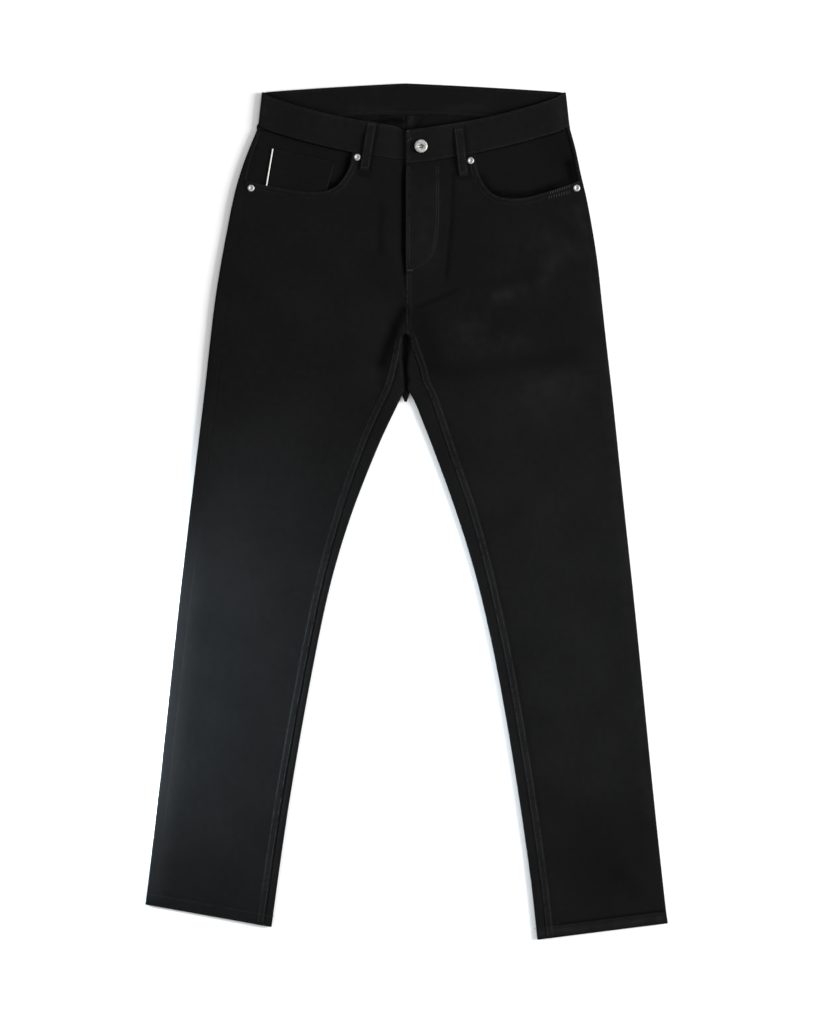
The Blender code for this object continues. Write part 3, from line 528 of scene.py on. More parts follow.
def back_height(x, y):
    """How far the underside moves up, in mm. It never moves down, into the table."""
    calm = 1.0 - 0.8 * smooth(y, 255.0, 300.0)
    loose = 0.5 * np.maximum(unevenness(x, y, 70.0, 5.3), 0.0)
    return (fold_height(x, y, BACK_FOLDS) + loose) * calm


def fork_gap(x, y, z):
    """How far the legs' upper edges turn away from each other above the fork, sideways in mm."""
    near = np.exp(-((x - CENTRE_X) / 7.0) ** 2) * smooth(y, 160.0, 172.0) * (1.0 - smooth(y, 228.0, 238.0))
    up = (163.0, 176.0, 185.0, 203.0, 220.0)
    wide = np.interp(y, up, (1.8, 3.9, 2.4, 4.0, 6.2))
    aside = np.interp(y, up, (-0.4, 0.9, -1.5, -2.3, 0.4))
    return (np.sign(x - CENTRE_X) * wide + aside) * near * smooth(z, 1.6, 4.4)


print("front folds:", len(FRONT_FOLDS), "back folds:", len(BACK_FOLDS))

# %% [markdown]
# ## Rubbed dye, painted shade and painted highlights
#
# Black dye rubs off where the cloth stands up, as on the hems. Darker places are painted shade: the slit of
# the fork between the legs, the slot beside the fly, the facings under the pocket mouths, creases, seam
# ditches, the sides of the front belt loops and the inside of the back under the front waistband's edge.
# Lighter than the cloth around them are patches on the thighs, the knees and the left leg's side, a painted
# highlight on the right shin where the cool lamp's glare falls, and painted sheen on the inside of the back
# waistband. Those places are lines with an amount and a spread, and what they add up to is stored on the
# points of each piece. An image could hold it too, but points need no unwrapping, and the same lines serve
# all the pieces.

# %% Rubbed dye, painted shade and painted highlights
FADES_AND_PAINTED_LIGHT = [  # line, change of tone and spread in mm, on the upper side. Negative changes are painted shade in slits, creases, seam ditches and under edges; positive ones make lighter patches, and rubbed dye on the left hem
    # Painted shade in the fork slit, in the crease beside the right inseam, and beside and under the front
    # belt loops
    ([(-1.6, 230), (-2.4, 205)], -0.5, 4.5),
    ([(-2.4, 205), (-1.4, 168)], -0.5, 3.2),
    ([(-5, 266), (-16, 246), (-25, 222), (-33, 198)], -0.42, 8.5),
    ([(-37.5, 518), (-48.5, 454)], -0.32, 1.8),
    ([(-64, 449), (-50, 447)], -0.3, 2),
    ([(77, 511), (84, 447)], -0.22, 2.4),
    ([(70, 443), (84, 443)], -0.2, 2),
    ([(201, 545), (211, 512)], 0.14, 9),
    ([(-199, 550), (-186, 530)], 0.09, 10),
    # Painted shade in the hollows beside the crotch and the fly and in creases of the thighs
    ([(14, 258), (24, 225), (34, 190)], -0.2, 14),
    ([(-36, 400), (-37, 345)], -0.14, 5),
    ([(-38, 335), (-20, 290)], -0.06, 12),
    ([(61.6, 449), (59, 385), (52, 312)], -0.2, 2.6),
    ([(12, 271), (38, 281), (64, 294)], -0.2, 3),
    ([(120, 284), (150, 298)], 0.17, 9),
    ([(184, 306), (194, 326)], 0.15, 11),
    ([(79, 301), (175, 312)], -0.06, 8),
    ([(98, 216), (150, 226)], 0.08, 17),
    ([(165, 160), (240, 176)], 0.08, 22),
    ([(80, 238), (95, 246)], 0.14, 16),
    ([(60, 184), (150, 196), (222, 208)], -0.11, 11),
    ([(120, 150), (200, 150)], 0.08, 40),
    ([(175, 358), (215, 345)], 0.12, 22),
    ([(205, 60), (240, -300)], 0.1, 95),
    ([(-195, 80), (-225, -60)], 0.14, 80),
    ([(245, -420), (262, -500)], -0.12, 34),
    ([(282, -484), (300, -505)], -0.12, 14),
    # Rubbed dye on the fold of the left hem, and painted shade in its seam ditch
    ([(338, -541), (172, -562)], 0.22, 5),
    ([(342, -531), (205, -549)], -0.32, 1.8),
    ([(232, 400), (262, 260)], 0.12, 10),
    ([(268, 200), (325, -400)], 0.08, 12),
    ([(30, 420), (22, 340)], 0.08, 16),
    ([(-160, 288), (-60, 268)], 0.04, 50),
]
INSIDE_PAINTED_LIGHT = [  # the same on the inside of the back, above the front waistband: painted shade under the front waistband's edge and in a crease, and painted sheen in light patches
    ([(-32, 523), (-6, 520)], -0.5, 4.5),
    ([(22, 523), (12, 511)], -0.22, 2.2),
    ([(0, 512), (8, 525)], 0.16, 3.5),
    ([(-75, 536), (-20, 533)], 0.08, 5),
    ([(55, 536), (100, 538)], 0.1, 5),
]
# Painted highlight on the outer edge of the right shin, from the knee down, where the cool lamp's glare
# falls
SHIN_EDGE_HIGHLIGHT = ([(-279, 20), (-307, -230), (-323, -390), (-341, -500)], 0.27, 17)
# Painted shade in the slot beside the fly's edge
FLY_SLOT_SHADE = ([(-4, 462), (-4, 345), (-2.4, 318)], -0.5, 2.6)
MOUTH_SHADE = {
    "right": [([(-76, 466), (-80, 447), (-93, 434), (-114, 428)], -0.5, 7),
              ([(-114, 428), (-190, 436)], -0.25, 4)],
    "left": [([(118, 421.5), (144, 419.5), (165, 421.5), (192, 430)], -0.5, 5),
             ([(101, 445), (108, 431), (118, 422)], -0.3, 4),
             ([(192, 430), (208, 438)], -0.3, 4),
             ([(216, 462), (220, 442)], -0.4, 6.5),
             ([(190, 496), (214, 470)], -0.12, 22)],
}
OWN_PAINTED_LIGHT = {  # on one piece alone: painted shade in the fly's slot, on the pocket facings and along the coin pocket's edges, and the usual tone back at the tip of the fork cloth
    "front_panel_right": [FLY_SLOT_SHADE],
    "fly_shield": [FLY_SLOT_SHADE],
    "pocket_facing_right": MOUTH_SHADE["right"],
    "pocket_facing_left": MOUTH_SHADE["left"],
    "fork_cloth": [([(-1, 154), (-1, 145)], 0.45, 6)],
    "coin_pocket": [([(-175, 484), (-95, 467)], -0.2, 3),
                    ([(-95, 463), (-106, 425)], -0.2, 3)],
}
OWN_TONE_AND_SHADE = {  # change of tone on a whole piece; on the pocket facings, the coin pocket, the fly shield and the fork cloth it is painted shade
    "pocket_facing_right": -0.05,
    "pocket_facing_left": -0.06,
    "coin_pocket": -0.04,
    "fly_shield": -0.3,
    "waistband": 0.05,
    "front_panel_left": -0.02,
    "fork_cloth": -0.45,
    "belt_loop_front_right": 0.07,
    "belt_loop_front_left": 0.07,
}
USUAL_FADE = 0.48
PATCH_LIMIT = 25.0  # mm; lighter places narrower than this are patchy
BAND_INSIDE = (0.8, FRONT_LEVEL)  # mm; the back waistband's upper side lies between these heights
BAND_LOWEST = 470.0  # mm up the jeans


def fade_and_painted_light_at(x, y, z, node):
    """Rubbed dye, painted shade and painted highlights at points given in mm, from 0 to 1."""
    total = USUAL_FADE + 0.06 * unevenness(x, y, 55.0, 2.2) + 0.05 * unevenness(x, y, 7.0, 6.1)
    total += OWN_TONE_AND_SHADE.get(node, 0.0)
    top = smooth(z, 2.2, 3.2)
    patchy = 1.0 + 1.1 * unevenness(x, y, 13.0, 4.4)
    for line, amount, spread in FADES_AND_PAINTED_LIGHT + OWN_PAINTED_LIGHT.get(node, []):
        share = patchy if amount > 0.0 and spread < PATCH_LIMIT else 1.0
        total += top * line_height(x, y, line, amount, spread) * share
    # Painted highlight of the cool lamp's glare along the right shin, from the knee down
    total += top * smooth(-y, -20.0, 130.0) * line_height(x, y, *SHIN_EDGE_HIGHLIGHT)
    inside = (z > BAND_INSIDE[0]) & (z < BAND_INSIDE[1]) & (y > BAND_LOWEST)
    # Painted shade on the inside of the back, below the front waistband, darker all over
    total -= 0.06 * inside
    for line, amount, spread in INSIDE_PAINTED_LIGHT:
        total += inside * line_height(x, y, line, amount, spread)
    # Painted shadow of the front waistband's top edge on the inside of the back
    for side in ("right", "left"):
        total -= 0.3 * inside * line_height(x, y, band_top[side][::3], 1.0, 5.0)
    return np.clip(total, 0.0, 1.0)


print("worn and unworn places:", len(FADES_AND_PAINTED_LIGHT) + sum(len(lines) for lines in OWN_PAINTED_LIGHT.values()))

# %% [markdown]
# ## Where the layers part
#
# Some edges stand away from what lies under them, and those gaps draw the darkest lines on black
# cloth. The left front stands up along the fly and the right front sinks beside it. The turned
# edge of each pocket mouth stands up from the facing, and the front of the waistband stands up
# from the back. These rises belong to one piece each, so they are kept apart from the folds.

# %% Rises of single pieces
def fly_stretch(y):
    return smooth(y, 318.0, 352.0) * (1.0 - smooth(y, 440.0, 461.0))


def fly_edge_up(x, y, z):
    return 1.7 * np.exp(-((x + 1.3) / 8.0) ** 2) * fly_stretch(y)


def beside_fly_down(x, y, z):
    valley = np.exp(-((x + 3.6) / 3.2) ** 2) * (x < 2.0) + 0.1 * (x >= 2.0)
    return -2.3 * valley * fly_stretch(y)


def mouth_up(side):
    return lambda x, y, z: line_height(x, y, pocket_mouth[side][::2], 0.9, 6.0)


def mouth_down(side):
    return lambda x, y, z: line_height(x, y, pocket_mouth[side][::2], -0.45, 10.0)


BAND_HEIGHT = 44.0


def band_up(x, y, z):
    low = np.interp(x, *np.array([tuple(p) for p in waist_seam["right"] + waist_seam["left"]]).T)
    flat = 1.0 - smooth(np.abs(x), 120.0, 185.0)
    return 1.5 * smooth((y - low) / BAND_HEIGHT, 0.35, 1.0) * flat * (z > FRONT_LEVEL)


OWN_RISE = {
    "front_panel_right": lambda x, y, z: mouth_up("right")(x, y, z) + beside_fly_down(x, y, z),
    "front_panel_left": lambda x, y, z: mouth_up("left")(x, y, z) + fly_edge_up(x, y, z),
    "pocket_facing_right": mouth_down("right"),
    "pocket_facing_left": mouth_down("left"),
    "coin_pocket": mouth_down("right"),
    "coin_pocket_selvedge": mouth_down("right"),
    "fly_shield": beside_fly_down,
    "zip": beside_fly_down,
    "waistband": band_up,
}
print("pieces with a rise of their own:", len(OWN_RISE))

# %% [markdown]
# ## Cloth from the solids
#
# A copy of each solid has its doubled corners merged and its triangles joined to quads, and long
# edges are cut until the cells are about as wide as they are long. Edges sharper than 55 degrees,
# which are the cut rims, are creased, so that Subdivision Surface rounds the folded sides and
# keeps the rims. The result is made a plain mesh, the height field moves it, and it gets a UV
# map along the grain. A Cloth simulation would make new folds, but these jeans have been laid
# out by hand and their folds are known, so moving the points keeps them in their place.

# %% Cloth helper
SEAT_LIFT = 1.4  # mm; how much higher the layers lie above the fork than on the legs
RIM_CREASE = 0.55
RIM_ANGLE = math.radians(55)
MOST_HALVINGS = 8
GRAIN_TILT = {"right": math.radians(-8.5), "left": math.radians(7.8)}
cloth = {}


def merged_copy(node):
    """A CAD node as one skin of quads."""
    work = bmesh.new()
    work.from_mesh(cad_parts[node].data)
    bmesh.ops.remove_doubles(work, verts=work.verts[:], dist=0.01 * MM)
    bmesh.ops.join_triangles(work, faces=work.faces[:], angle_face_threshold=math.radians(20),
                             angle_shape_threshold=math.radians(70))
    return work


def even_cells(work, cell, lines=(), fine=6.0 * MM, reach=5.0 * MM, top=3.0 * MM):
    """Halves edges until none is longer than the cell, or than a finer one near the lines on top."""
    spots = [spot.to_3d() * MM for line in lines for spot in evenly(line, 5.0)]
    nearest = KDTree(len(spots))
    for i, spot in enumerate(spots):
        nearest.insert(spot, i)
    nearest.balance()
    for _ in range(MOST_HALVINGS):
        long_edges = []
        for edge in work.edges:
            length = edge.calc_length()
            if length > cell:
                long_edges.append(edge)
            elif length > fine and spots:
                middle = (edge.verts[0].co + edge.verts[1].co) / 2
                if middle.z > top and nearest.find((middle.x, middle.y, 0.0))[2] < reach:
                    long_edges.append(edge)
        if not long_edges:
            break
        bmesh.ops.subdivide_edges(work, edges=long_edges, cuts=1, use_grid_fill=True)


def subdivided(work, name, levels):
    """The skin as a mesh with its rims creased and its other edges rounded."""
    crease = work.edges.layers.float.new("crease_edge")
    for edge in work.edges:
        if edge.is_manifold and edge.calc_face_angle(0.0) > RIM_ANGLE:
            edge[crease] = RIM_CREASE
    mesh = mesh_from(work, name)
    shape = placed(name, mesh)
    rounding = shape.modifiers.new("rounding", "SUBSURF")
    rounding.levels = rounding.render_levels = levels
    finished = bpy.data.meshes.new_from_object(shape.evaluated_get(bpy.context.evaluated_depsgraph_get()))
    bpy.data.objects.remove(shape)
    bpy.data.meshes.remove(mesh)
    finished.name = name
    return finished


def lay_folds(mesh, carried, own_rise=None):
    """Moves the points by the height field. carried is front, back or both."""
    points = points_of(mesh)
    x, y, z = points.T
    above_floor = z - SEAT_LIFT * smooth(y, 200.0, 255.0)
    if carried == "front":
        top, under = 1.0, 0.0
    elif carried == "back":
        top, under = 0.0, 1.0
    else:
        top = smooth(above_floor, 1.6, 3.8)
        under = 1.0 - smooth(above_floor, 1.2, 2.8)
    moved = top * front_height(x, y) + under * back_height(x, y)
    if own_rise:
        moved += own_rise(x, y, z)
    points[:, 0] = x + fork_gap(x, y, z)
    points[:, 2] = z + moved
    mesh.vertices.foreach_set("co", (points * MM).ravel())


def grain_map(mesh, side):
    """A UV map in metres along the grain. Height is added, so that nothing is stretched on a wall."""
    points = points_of(mesh) * MM
    tilt = GRAIN_TILT.get(side, 0.0)
    along = points[:, 1] * math.cos(tilt) - points[:, 0] * math.sin(tilt)
    across = points[:, 0] * math.cos(tilt) + points[:, 1] * math.sin(tilt) + points[:, 2]
    corner = np.zeros(len(mesh.loops), int)
    mesh.loops.foreach_get("vertex_index", corner)
    layer = mesh.uv_layers.get("grain") or mesh.uv_layers.new(name="grain")
    layer.data.foreach_set("uv", np.column_stack([across, along])[corner].ravel())


def fade_and_painted_light_map(mesh, node):
    """Stores on each point its rubbed dye, painted shade and painted highlights."""
    values = fade_and_painted_light_at(*points_of(mesh).T, node)
    mesh.attributes.new("fade_and_painted_light", "FLOAT", "POINT").data.foreach_set("value", values.astype(np.float32))


def finish_piece(name, mesh, material, node=None):
    """Makes an object of the mesh that rides on the jeans, and hides the node that it stands for."""
    if material in (cloth_black, cloth_seam, cloth_edge):
        fade_and_painted_light_map(mesh, node or name)
    mesh.materials.clear()
    mesh.materials.append(material)
    mesh.shade_smooth()
    mesh.set_sharp_from_angle(angle=math.radians(50))
    piece = placed(name, mesh)
    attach(piece, "root")
    if node:
        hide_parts(node)
    return piece


def side_of(name):
    """The leg that a piece belongs to."""
    return "right" if "right" in name else "left" if "left" in name else "middle"


def cloth_piece(node, cell, levels, carried, lines=()):
    """Makes the cloth of one node, with cells of that size in mm, and counts its triangles."""
    work = merged_copy(node)
    even_cells(work, cell * MM, lines)
    mesh = subdivided(work, "cloth_" + node, levels)
    lay_folds(mesh, carried, OWN_RISE.get(node))
    grain_map(mesh, side_of(node))
    cloth[node] = finish_piece("cloth_" + node, mesh, cloth_black, node)
    return sum(len(face.vertices) - 2 for face in mesh.polygons)


# %% Fronts, backs and yokes
fly_line = [(CENTRE_X, 236.0), (CENTRE_X, 460.0)]
fork_line = [(CENTRE_X, 160.0), (CENTRE_X, 240.0)]
leg_lines = {side: [inseam[side], outseam[side], fork_line] for side in inseam}
for node, cell, levels, carried, lines in [
    ("front_panel_right", 16.0, 2, "front", [*leg_lines["right"], pocket_mouth["right"], fly_line]),
    ("front_panel_left", 16.0, 2, "front", [*leg_lines["left"], pocket_mouth["left"], fly_line]),
    ("back_panel_right", 28.0, 2, "both", leg_lines["right"]),
    ("back_panel_left", 28.0, 2, "both", leg_lines["left"]),
    ("yoke_right", 10.0, 1, "both", ()),
    ("yoke_left", 10.0, 1, "both", ()),
]:
    print(node, cloth_piece(node, cell, levels, carried, lines), "triangles")

# %% Waistband, pockets, shield and belt loops
for node, cell, levels, carried in [
    ("waistband", 10.0, 2, "both"),
    ("pocket_facing_right", 12.0, 1, "front"),
    ("pocket_facing_left", 12.0, 1, "front"),
    ("coin_pocket", 10.0, 2, "front"),
    ("coin_pocket_selvedge", 6.0, 1, "front"),
    ("fly_shield", 6.0, 1, "front"),
    ("zip", 4.0, 1, "front"),
    ("back_pocket_right", 9.0, 1, "back"),
    ("back_pocket_left", 9.0, 1, "back"),
    ("belt_loop_front_right", 4.0, 2, "front"),
    ("belt_loop_front_left", 4.0, 2, "front"),
    ("belt_loop_back_right", 4.0, 1, "back"),
    ("belt_loop_back_centre", 4.0, 1, "back"),
    ("belt_loop_back_left", 4.0, 1, "back"),
]:
    print(node, cloth_piece(node, cell, levels, carried), "triangles")
for node, material, slot in (("coin_pocket_selvedge", edge_white, "white_selvedge"),
                             ("zip", tape_black, "black_zip_tape")):
    cloth[node].data.materials[0] = material

# %% [markdown]
# ## Finding the cloth under a seam
#
# Threads, seams and metal lie on cloth that the folds have moved. A tree of all cloth faces
# answers where a vertical line meets it, from above or from below.

# %% Cloth under a point
def cloth_tree(pieces):
    """One search tree of the faces of several pieces."""
    corners, faces = [], []
    for piece in pieces:
        first = len(corners)
        corners += [vertex.co.copy() for vertex in piece.data.vertices]
        faces += [[first + i for i in face.vertices] for face in piece.data.polygons]
    return BVHTree.FromPolygons(corners, faces)


FROM_ABOVE, FROM_BELOW = 30.0, -30.0
UNDER_FRONT = 4.6  # starts below the front waistband, to reach the inside of the back
on_cloth = cloth_tree(cloth.values())


def meets(x, y, start=FROM_ABOVE):
    """Height in mm where a vertical line from the start height meets the cloth, or None."""
    way = Vector((0.0, 0.0, 1.0 if start < 0.0 else -1.0))
    hit = on_cloth.ray_cast(Vector((x, y, start)) * MM, way)[0]
    return None if hit is None else hit.z / MM


def lies_at(x, y, start=FROM_ABOVE, reach=0.6):
    """Height of what lies at a point, without the slits between pieces."""
    around = ((0, 0), (reach, 0), (-reach, 0), (0, reach), (0, -reach))
    found = [meets(x + dx, y + dy, start) for dx, dy in around]
    found = [z for z in found if z is not None]
    if not found:
        return 0.0
    return min(found) if start < 0.0 else max(found)


KNEE = (-200, 0)
print("cloth at the knee, in mm:", round(lies_at(*KNEE), 2), "and", round(lies_at(*KNEE, FROM_BELOW), 2))

# %% [markdown]
# ## Felled seams
#
# The inseams, the seat seam and the yoke seams are flat-felled: both raw edges are folded into
# each other and sewn down with two rows, which makes a ridge 8 to 10 mm wide. The thread takes up
# a little more cloth below than above, so the ridge puckers into short slanted ripples. Each one
# is a grid bent along its line and dropped on the cloth, with a rounded section and ripples 7 or
# 8 mm apart. A Lattice or Curve modifier could bend it as well, but moving the grid's own points lets
# each one find the cloth under it.

# %% Ribbon helper
SINK = 0.15  # mm; how far the rim of a strip lies in the cloth
FOLD_THICKNESS = 0.4 * MM
seams = {}


def ribbon(name, line, width, rise, pucker, material, step=1.5, across=8, start=FROM_ABOVE, ripple=7.0):
    """Sews a folded strip of cloth along a line, in mm. It rises from the cloth in the middle."""
    points = evenly(line, step)
    count = len(points)
    side = -1.0 if start < 0.0 else 1.0
    work = bmesh.new()
    bmesh.ops.create_grid(work, x_segments=count - 1, y_segments=across, size=1.0)
    layer = work.loops.layers.uv.new("grain")
    places = {}
    for vertex in work.verts:
        i = round((vertex.co.x + 1.0) / 2.0 * (count - 1))
        t = vertex.co.y
        along = (points[min(i + 1, count - 1)] - points[max(i - 1, 0)]).normalized()
        spot = points[i] + Vector((-along.y, along.x)) * (t * width / 2.0)
        way = i * step
        wander = noise.noise(Vector((way / 22.0, 4.0, width)))
        wave = math.sin(2.0 * math.pi * (way / ripple + 0.3 * t) + 3.0 * wander)
        swell = rise * (1.0 - t ** 6) - SINK
        swell += pucker * (1.0 - t ** 4) * wave * (0.65 + 0.6 * noise.noise(Vector((way / 35.0, t, 9.0))))
        places[vertex] = (t * width / 2.0 * MM, way * MM)
        height = lies_at(spot.x, spot.y, start) + side * swell
        vertex.co = Vector((spot.x, spot.y, height)) * MM
    for face in work.faces:
        for loop in face.loops:
            loop[layer].uv = places[loop.vert]
    bmesh.ops.smooth_vert(work, verts=work.verts[:], factor=0.35, use_axis_x=False, use_axis_y=False,
                          use_axis_z=True)
    bmesh.ops.recalc_face_normals(work, faces=work.faces[:])
    work.normal_update()
    up = sum(face.normal.z for face in work.faces) * side
    if up < 0.0:
        bmesh.ops.reverse_faces(work, faces=work.faces[:])
    bmesh.ops.solidify(work, geom=work.faces[:], thickness=FOLD_THICKNESS)
    seams[name] = finish_piece(name, mesh_from(work, name), material)


FELL = 8.5
INSEAM_FELL = 10.0  # with the rounded edges of its fold

# %% Inseams
INSEAM_END = {  # under the end of the seat seam
    "right": [(-1.8, 240), (-1.8, 250)],
    "left": [(-1.2, 236)],
}
for side, away in (("right", 1), ("left", -1)):
    line = beside(inseam[side] + INSEAM_END[side], away * (INSEAM_FELL / 2 + 0.2))
    ribbon("inseam_fell_" + side, line, INSEAM_FELL, 0.5, 0.34, cloth_seam, ripple=8)
    print("inseam", side, len(seams["inseam_fell_" + side].data.polygons), "faces")

# %% Outseams
for side in ("right", "left"):
    line = outseam[side] + hip_seam[side]
    ribbon("outseam_ridge_" + side, line, 3.4, 0.17, 0.09, cloth_black, across=4)
    print("outseam", side, len(seams["outseam_ridge_" + side].data.polygons), "faces")

# %% Seat seam, in front below the fly and at the back
ribbon("front_fell", [(2.2, 316), (2.2, 232)], FELL, 0.5, 0.16, cloth_seam)
ribbon("back_fell_outside", [(2.4, 170), (2.4, 457)], FELL, 0.35, 0.15, cloth_seam, start=FROM_BELOW)
ribbon("back_fell_inside", [(4.8, 500), (4.8, 527)], 10.5, 0.5, 0.1, cloth_seam, start=UNDER_FRONT)


def placing(spot, size, turn=Matrix()):
    """The matrix that gives a unit shape its size, turns it and moves it to a spot, in mm."""
    scale = Matrix.Diagonal((*[length * MM for length in size], 1.0))
    return Matrix.Translation(Vector(spot) * MM) @ turn @ scale


# A strip of cloth lies under the slit between the legs above the fork. Its dark tone is painted shade; at
# its tip, which lies out of the slit, the tone goes back to that of the cloth around it.
FORK_MIDDLE, FORK_LEVEL, FORK_THICKNESS = 192.0, 3.0, 0.8
FORK_HALF_WIDTH, FORK_HALF_LENGTH = 6.0, 46.0
TIP_RISE, TIP_TAPER = 1.3, 0.75  # the lower end shows between the legs as a tip
fork = bmesh.new()
place = placing((CENTRE_X, FORK_MIDDLE, FORK_LEVEL), (FORK_HALF_WIDTH, FORK_HALF_LENGTH, 1.0))
bmesh.ops.create_grid(fork, x_segments=6, y_segments=46, size=1.0, matrix=place)
for vert in fork.verts:
    low = 1.0 - smooth(vert.co.y / MM, 144.0, 160.0)
    vert.co.x = CENTRE_X * MM + (vert.co.x - CENTRE_X * MM) * (1.0 - TIP_TAPER * low)
    vert.co.z += TIP_RISE * low * MM
bmesh.ops.solidify(fork, geom=fork.faces[:], thickness=FORK_THICKNESS * MM)
fork_mesh = mesh_from(fork, "fork_cloth")
grain_map(fork_mesh, "middle")
seams["fork_cloth"] = finish_piece("fork_cloth", fork_mesh, cloth_black)
print("seat seam in three parts, and the cloth at the bottom of the fork")

# %% [markdown]
# ## Worn and highlighted edges
#
# Wherever cloth is turned over, as on the waistband, the pocket mouths and the fly, its edge is thicker and
# rounder than a cut one, and the black dye rubs off there first. A narrow roll of slightly greyer denim
# along each of those edges gives the thin light line that shows the shapes of black jeans; its grey is that
# rubbed dye and also a painted highlight of the light that the rounded edge catches. A bevel on the pieces
# would round their edges too, but would not give them a finish of their own.

# %% Edge rolls
ROLL, INSIDE_ROLL = 1.7, 2.4
on_cloth = cloth_tree([*cloth.values(), *seams.values()])
rolls = {
    "pocket_edge_right": (beside(pocket_mouth["right"], 0.9), FROM_ABOVE),
    "pocket_edge_left": (beside(pocket_mouth["left"], -0.9), FROM_ABOVE),
    "band_edge_right": (beside(band_top["right"], -0.9), FROM_ABOVE),
    "band_edge_left": (beside(band_top["left"], -0.9), FROM_ABOVE),
    "band_end_edge": ([(0.2, 464), (0.2, 506)], FROM_ABOVE),
    "fly_edge": ([(0.1, 324), (0.1, 461)], FROM_ABOVE),
    "band_edge_back": (beside(band_back_top, -0.9), FROM_ABOVE),
    "waist_seam_inside": (beside(band_back_low[4:-4], 0.6), UNDER_FRONT),
}
for name, (line, start) in rolls.items():
    wide, finish = (INSIDE_ROLL, cloth_seam) if name == "waist_seam_inside" else (ROLL, cloth_edge)
    ribbon(name, line, wide, 0.26, 0.08, finish, step=2, across=4, start=start, ripple=9)
print("edge rolls:", len(rolls))

# %% Seam ends under the waistband
SEAM_END_SIZE = (5.5, 7.0, 1.7)  # half of it each way, in mm
for name, x in (("seam_end_right", -194.4), ("seam_end_left", 212.0)):
    lump = bmesh.new()
    place = placing((x, 510.5, 3.3), SEAM_END_SIZE)
    bmesh.ops.create_uvsphere(lump, u_segments=24, v_segments=12, radius=1.0, matrix=place)
    lump_mesh = mesh_from(lump, name)
    grain_map(lump_mesh, "middle")
    seams[name] = finish_piece(name, lump_mesh, cloth_seam)
print("folded ends of the side seams: 2")

# %% [markdown]
# ## Stitches
#
# The rows are lock stitches about 3 mm long in thick thread. Each stitch is a small spindle that
# lies on the cloth between two points of its row and sinks in at both ends. They are real shapes
# and not a pattern, so they catch the light from any side. A spindle has only 24 triangles,
# because there are thousands of them. All the stitches of one kind of seam are one piece.

# %% Stitch helpers
STITCH_PITCH = 3.3
STITCH_LENGTH = 2.7
THREAD = 0.22  # half of the thread's width
THICK_THREAD = 0.32  # the same where the stitches lie close together
STEEPEST = 1.2  # mm; a stitch that would climb more than this is left out
FACES_A_STITCH = 18
ROW_PART = 60  # stitches made at a time
on_cloth = cloth_tree([*cloth.values(), *seams.values()])
threads = {}


def stitch(work, a, b, start, half=THREAD):
    """One stitch from a to b, in mm. Some sink into the cloth."""
    side = -1.0 if start < 0.0 else 1.0
    waver = noise.noise(Vector((a.x / 9.0, a.y / 9.0, 7.0)))
    lift = side * (0.12 if half > THREAD else 0.55 * waver - 0.03)
    low = Vector((a.x, a.y, lies_at(a.x, a.y, start, 0.3) + lift))
    high = Vector((b.x, b.y, lies_at(b.x, b.y, start, 0.3) + lift))
    if abs(high.z - low.z) > STEEPEST:
        return
    turn = (high - low).to_track_quat("Z", "Y").to_matrix().to_4x4()
    place = placing((low + high) / 2, (half, half, (high - low).length / 2), turn)
    bmesh.ops.create_uvsphere(work, u_segments=6, v_segments=3, radius=1.0, matrix=place)


def add_to(group, work):
    """Adds a finished row to its group. Rows are made alone, because operators are slow on a large mesh."""
    carrier = mesh_from(work, "row")
    threads.setdefault(group, bmesh.new()).from_mesh(carrier)
    bpy.data.meshes.remove(carrier)


def row(group, line, start=FROM_ABOVE):
    """A row of stitches along a line."""
    points = evenly(line, STITCH_PITCH)
    for first in range(0, len(points) - 1, ROW_PART):
        work = bmesh.new()
        part = points[first:first + ROW_PART + 1]
        for a, b in zip(part, part[1:]):
            middle, along = (a + b) / 2, (b - a).normalized()
            stitch(work, middle - along * STITCH_LENGTH / 2, middle + along * STITCH_LENGTH / 2, start)
        add_to(group, work)


def bar_tack(group, line, width, pitch=0.9, start=FROM_ABOVE, lean=0.0, half=THREAD):
    """Stitches across a line, which lock the end of a seam. They lean by that share of the width."""
    points = evenly(line, pitch)
    work = bmesh.new()
    for i, point in enumerate(points[:-1]):
        along = (points[i + 1] - point).normalized()
        across = (Vector((-along.y, along.x)) + along * lean) * width / 2
        stitch(work, point - across, point + across, start, half)
    add_to(group, work)


def stitches(group):
    """How many stitches a group has so far."""
    return len(threads[group].faces) // FACES_A_STITCH


# %% Rows of the waistband
for side in ("right", "left"):
    row("waistband", beside(waist_seam[side], 1.7))
    row("waistband", beside(band_top[side], -3.2))
row("waistband", [(3, 466.5), (3, 503.5)])
row("waistband", beside(band_back_low[3:-3], 3.2), UNDER_FRONT)
row("waistband", beside(band_back_top, -3.2))
row("waistband", beside(band_back_low, 3), FROM_BELOW)
row("waistband", beside(band_back_top, -3), FROM_BELOW)
bar_tack("waistband", [(1, 491.5), (6.5, 497)], 2.2, 0.7, half=THICK_THREAD)
bar_tack("waistband", [(0.5, 505), (3.5, 505.5)], 1.8, 0.7, half=THICK_THREAD)
print("stitches of the waistband:", stitches("waistband"))

# %% Rows of the fly and the seat seam
row("fly", fly_curve)
row("fly", beside(fly_curve, -3)[:-3])
row("fly", [(3.2, 459), (3.2, 326)])
bar_tack("fly", [(0.5, 320.5), (8.5, 320.5)], 2.6, 0.8)
bar_tack("fly", [(2.2, 239), (2.2, 234.5)], 5, 1.4)
row("fly", [(0.4, 317), (0.4, 238)])
print("stitches of the fly:", stitches("fly"))

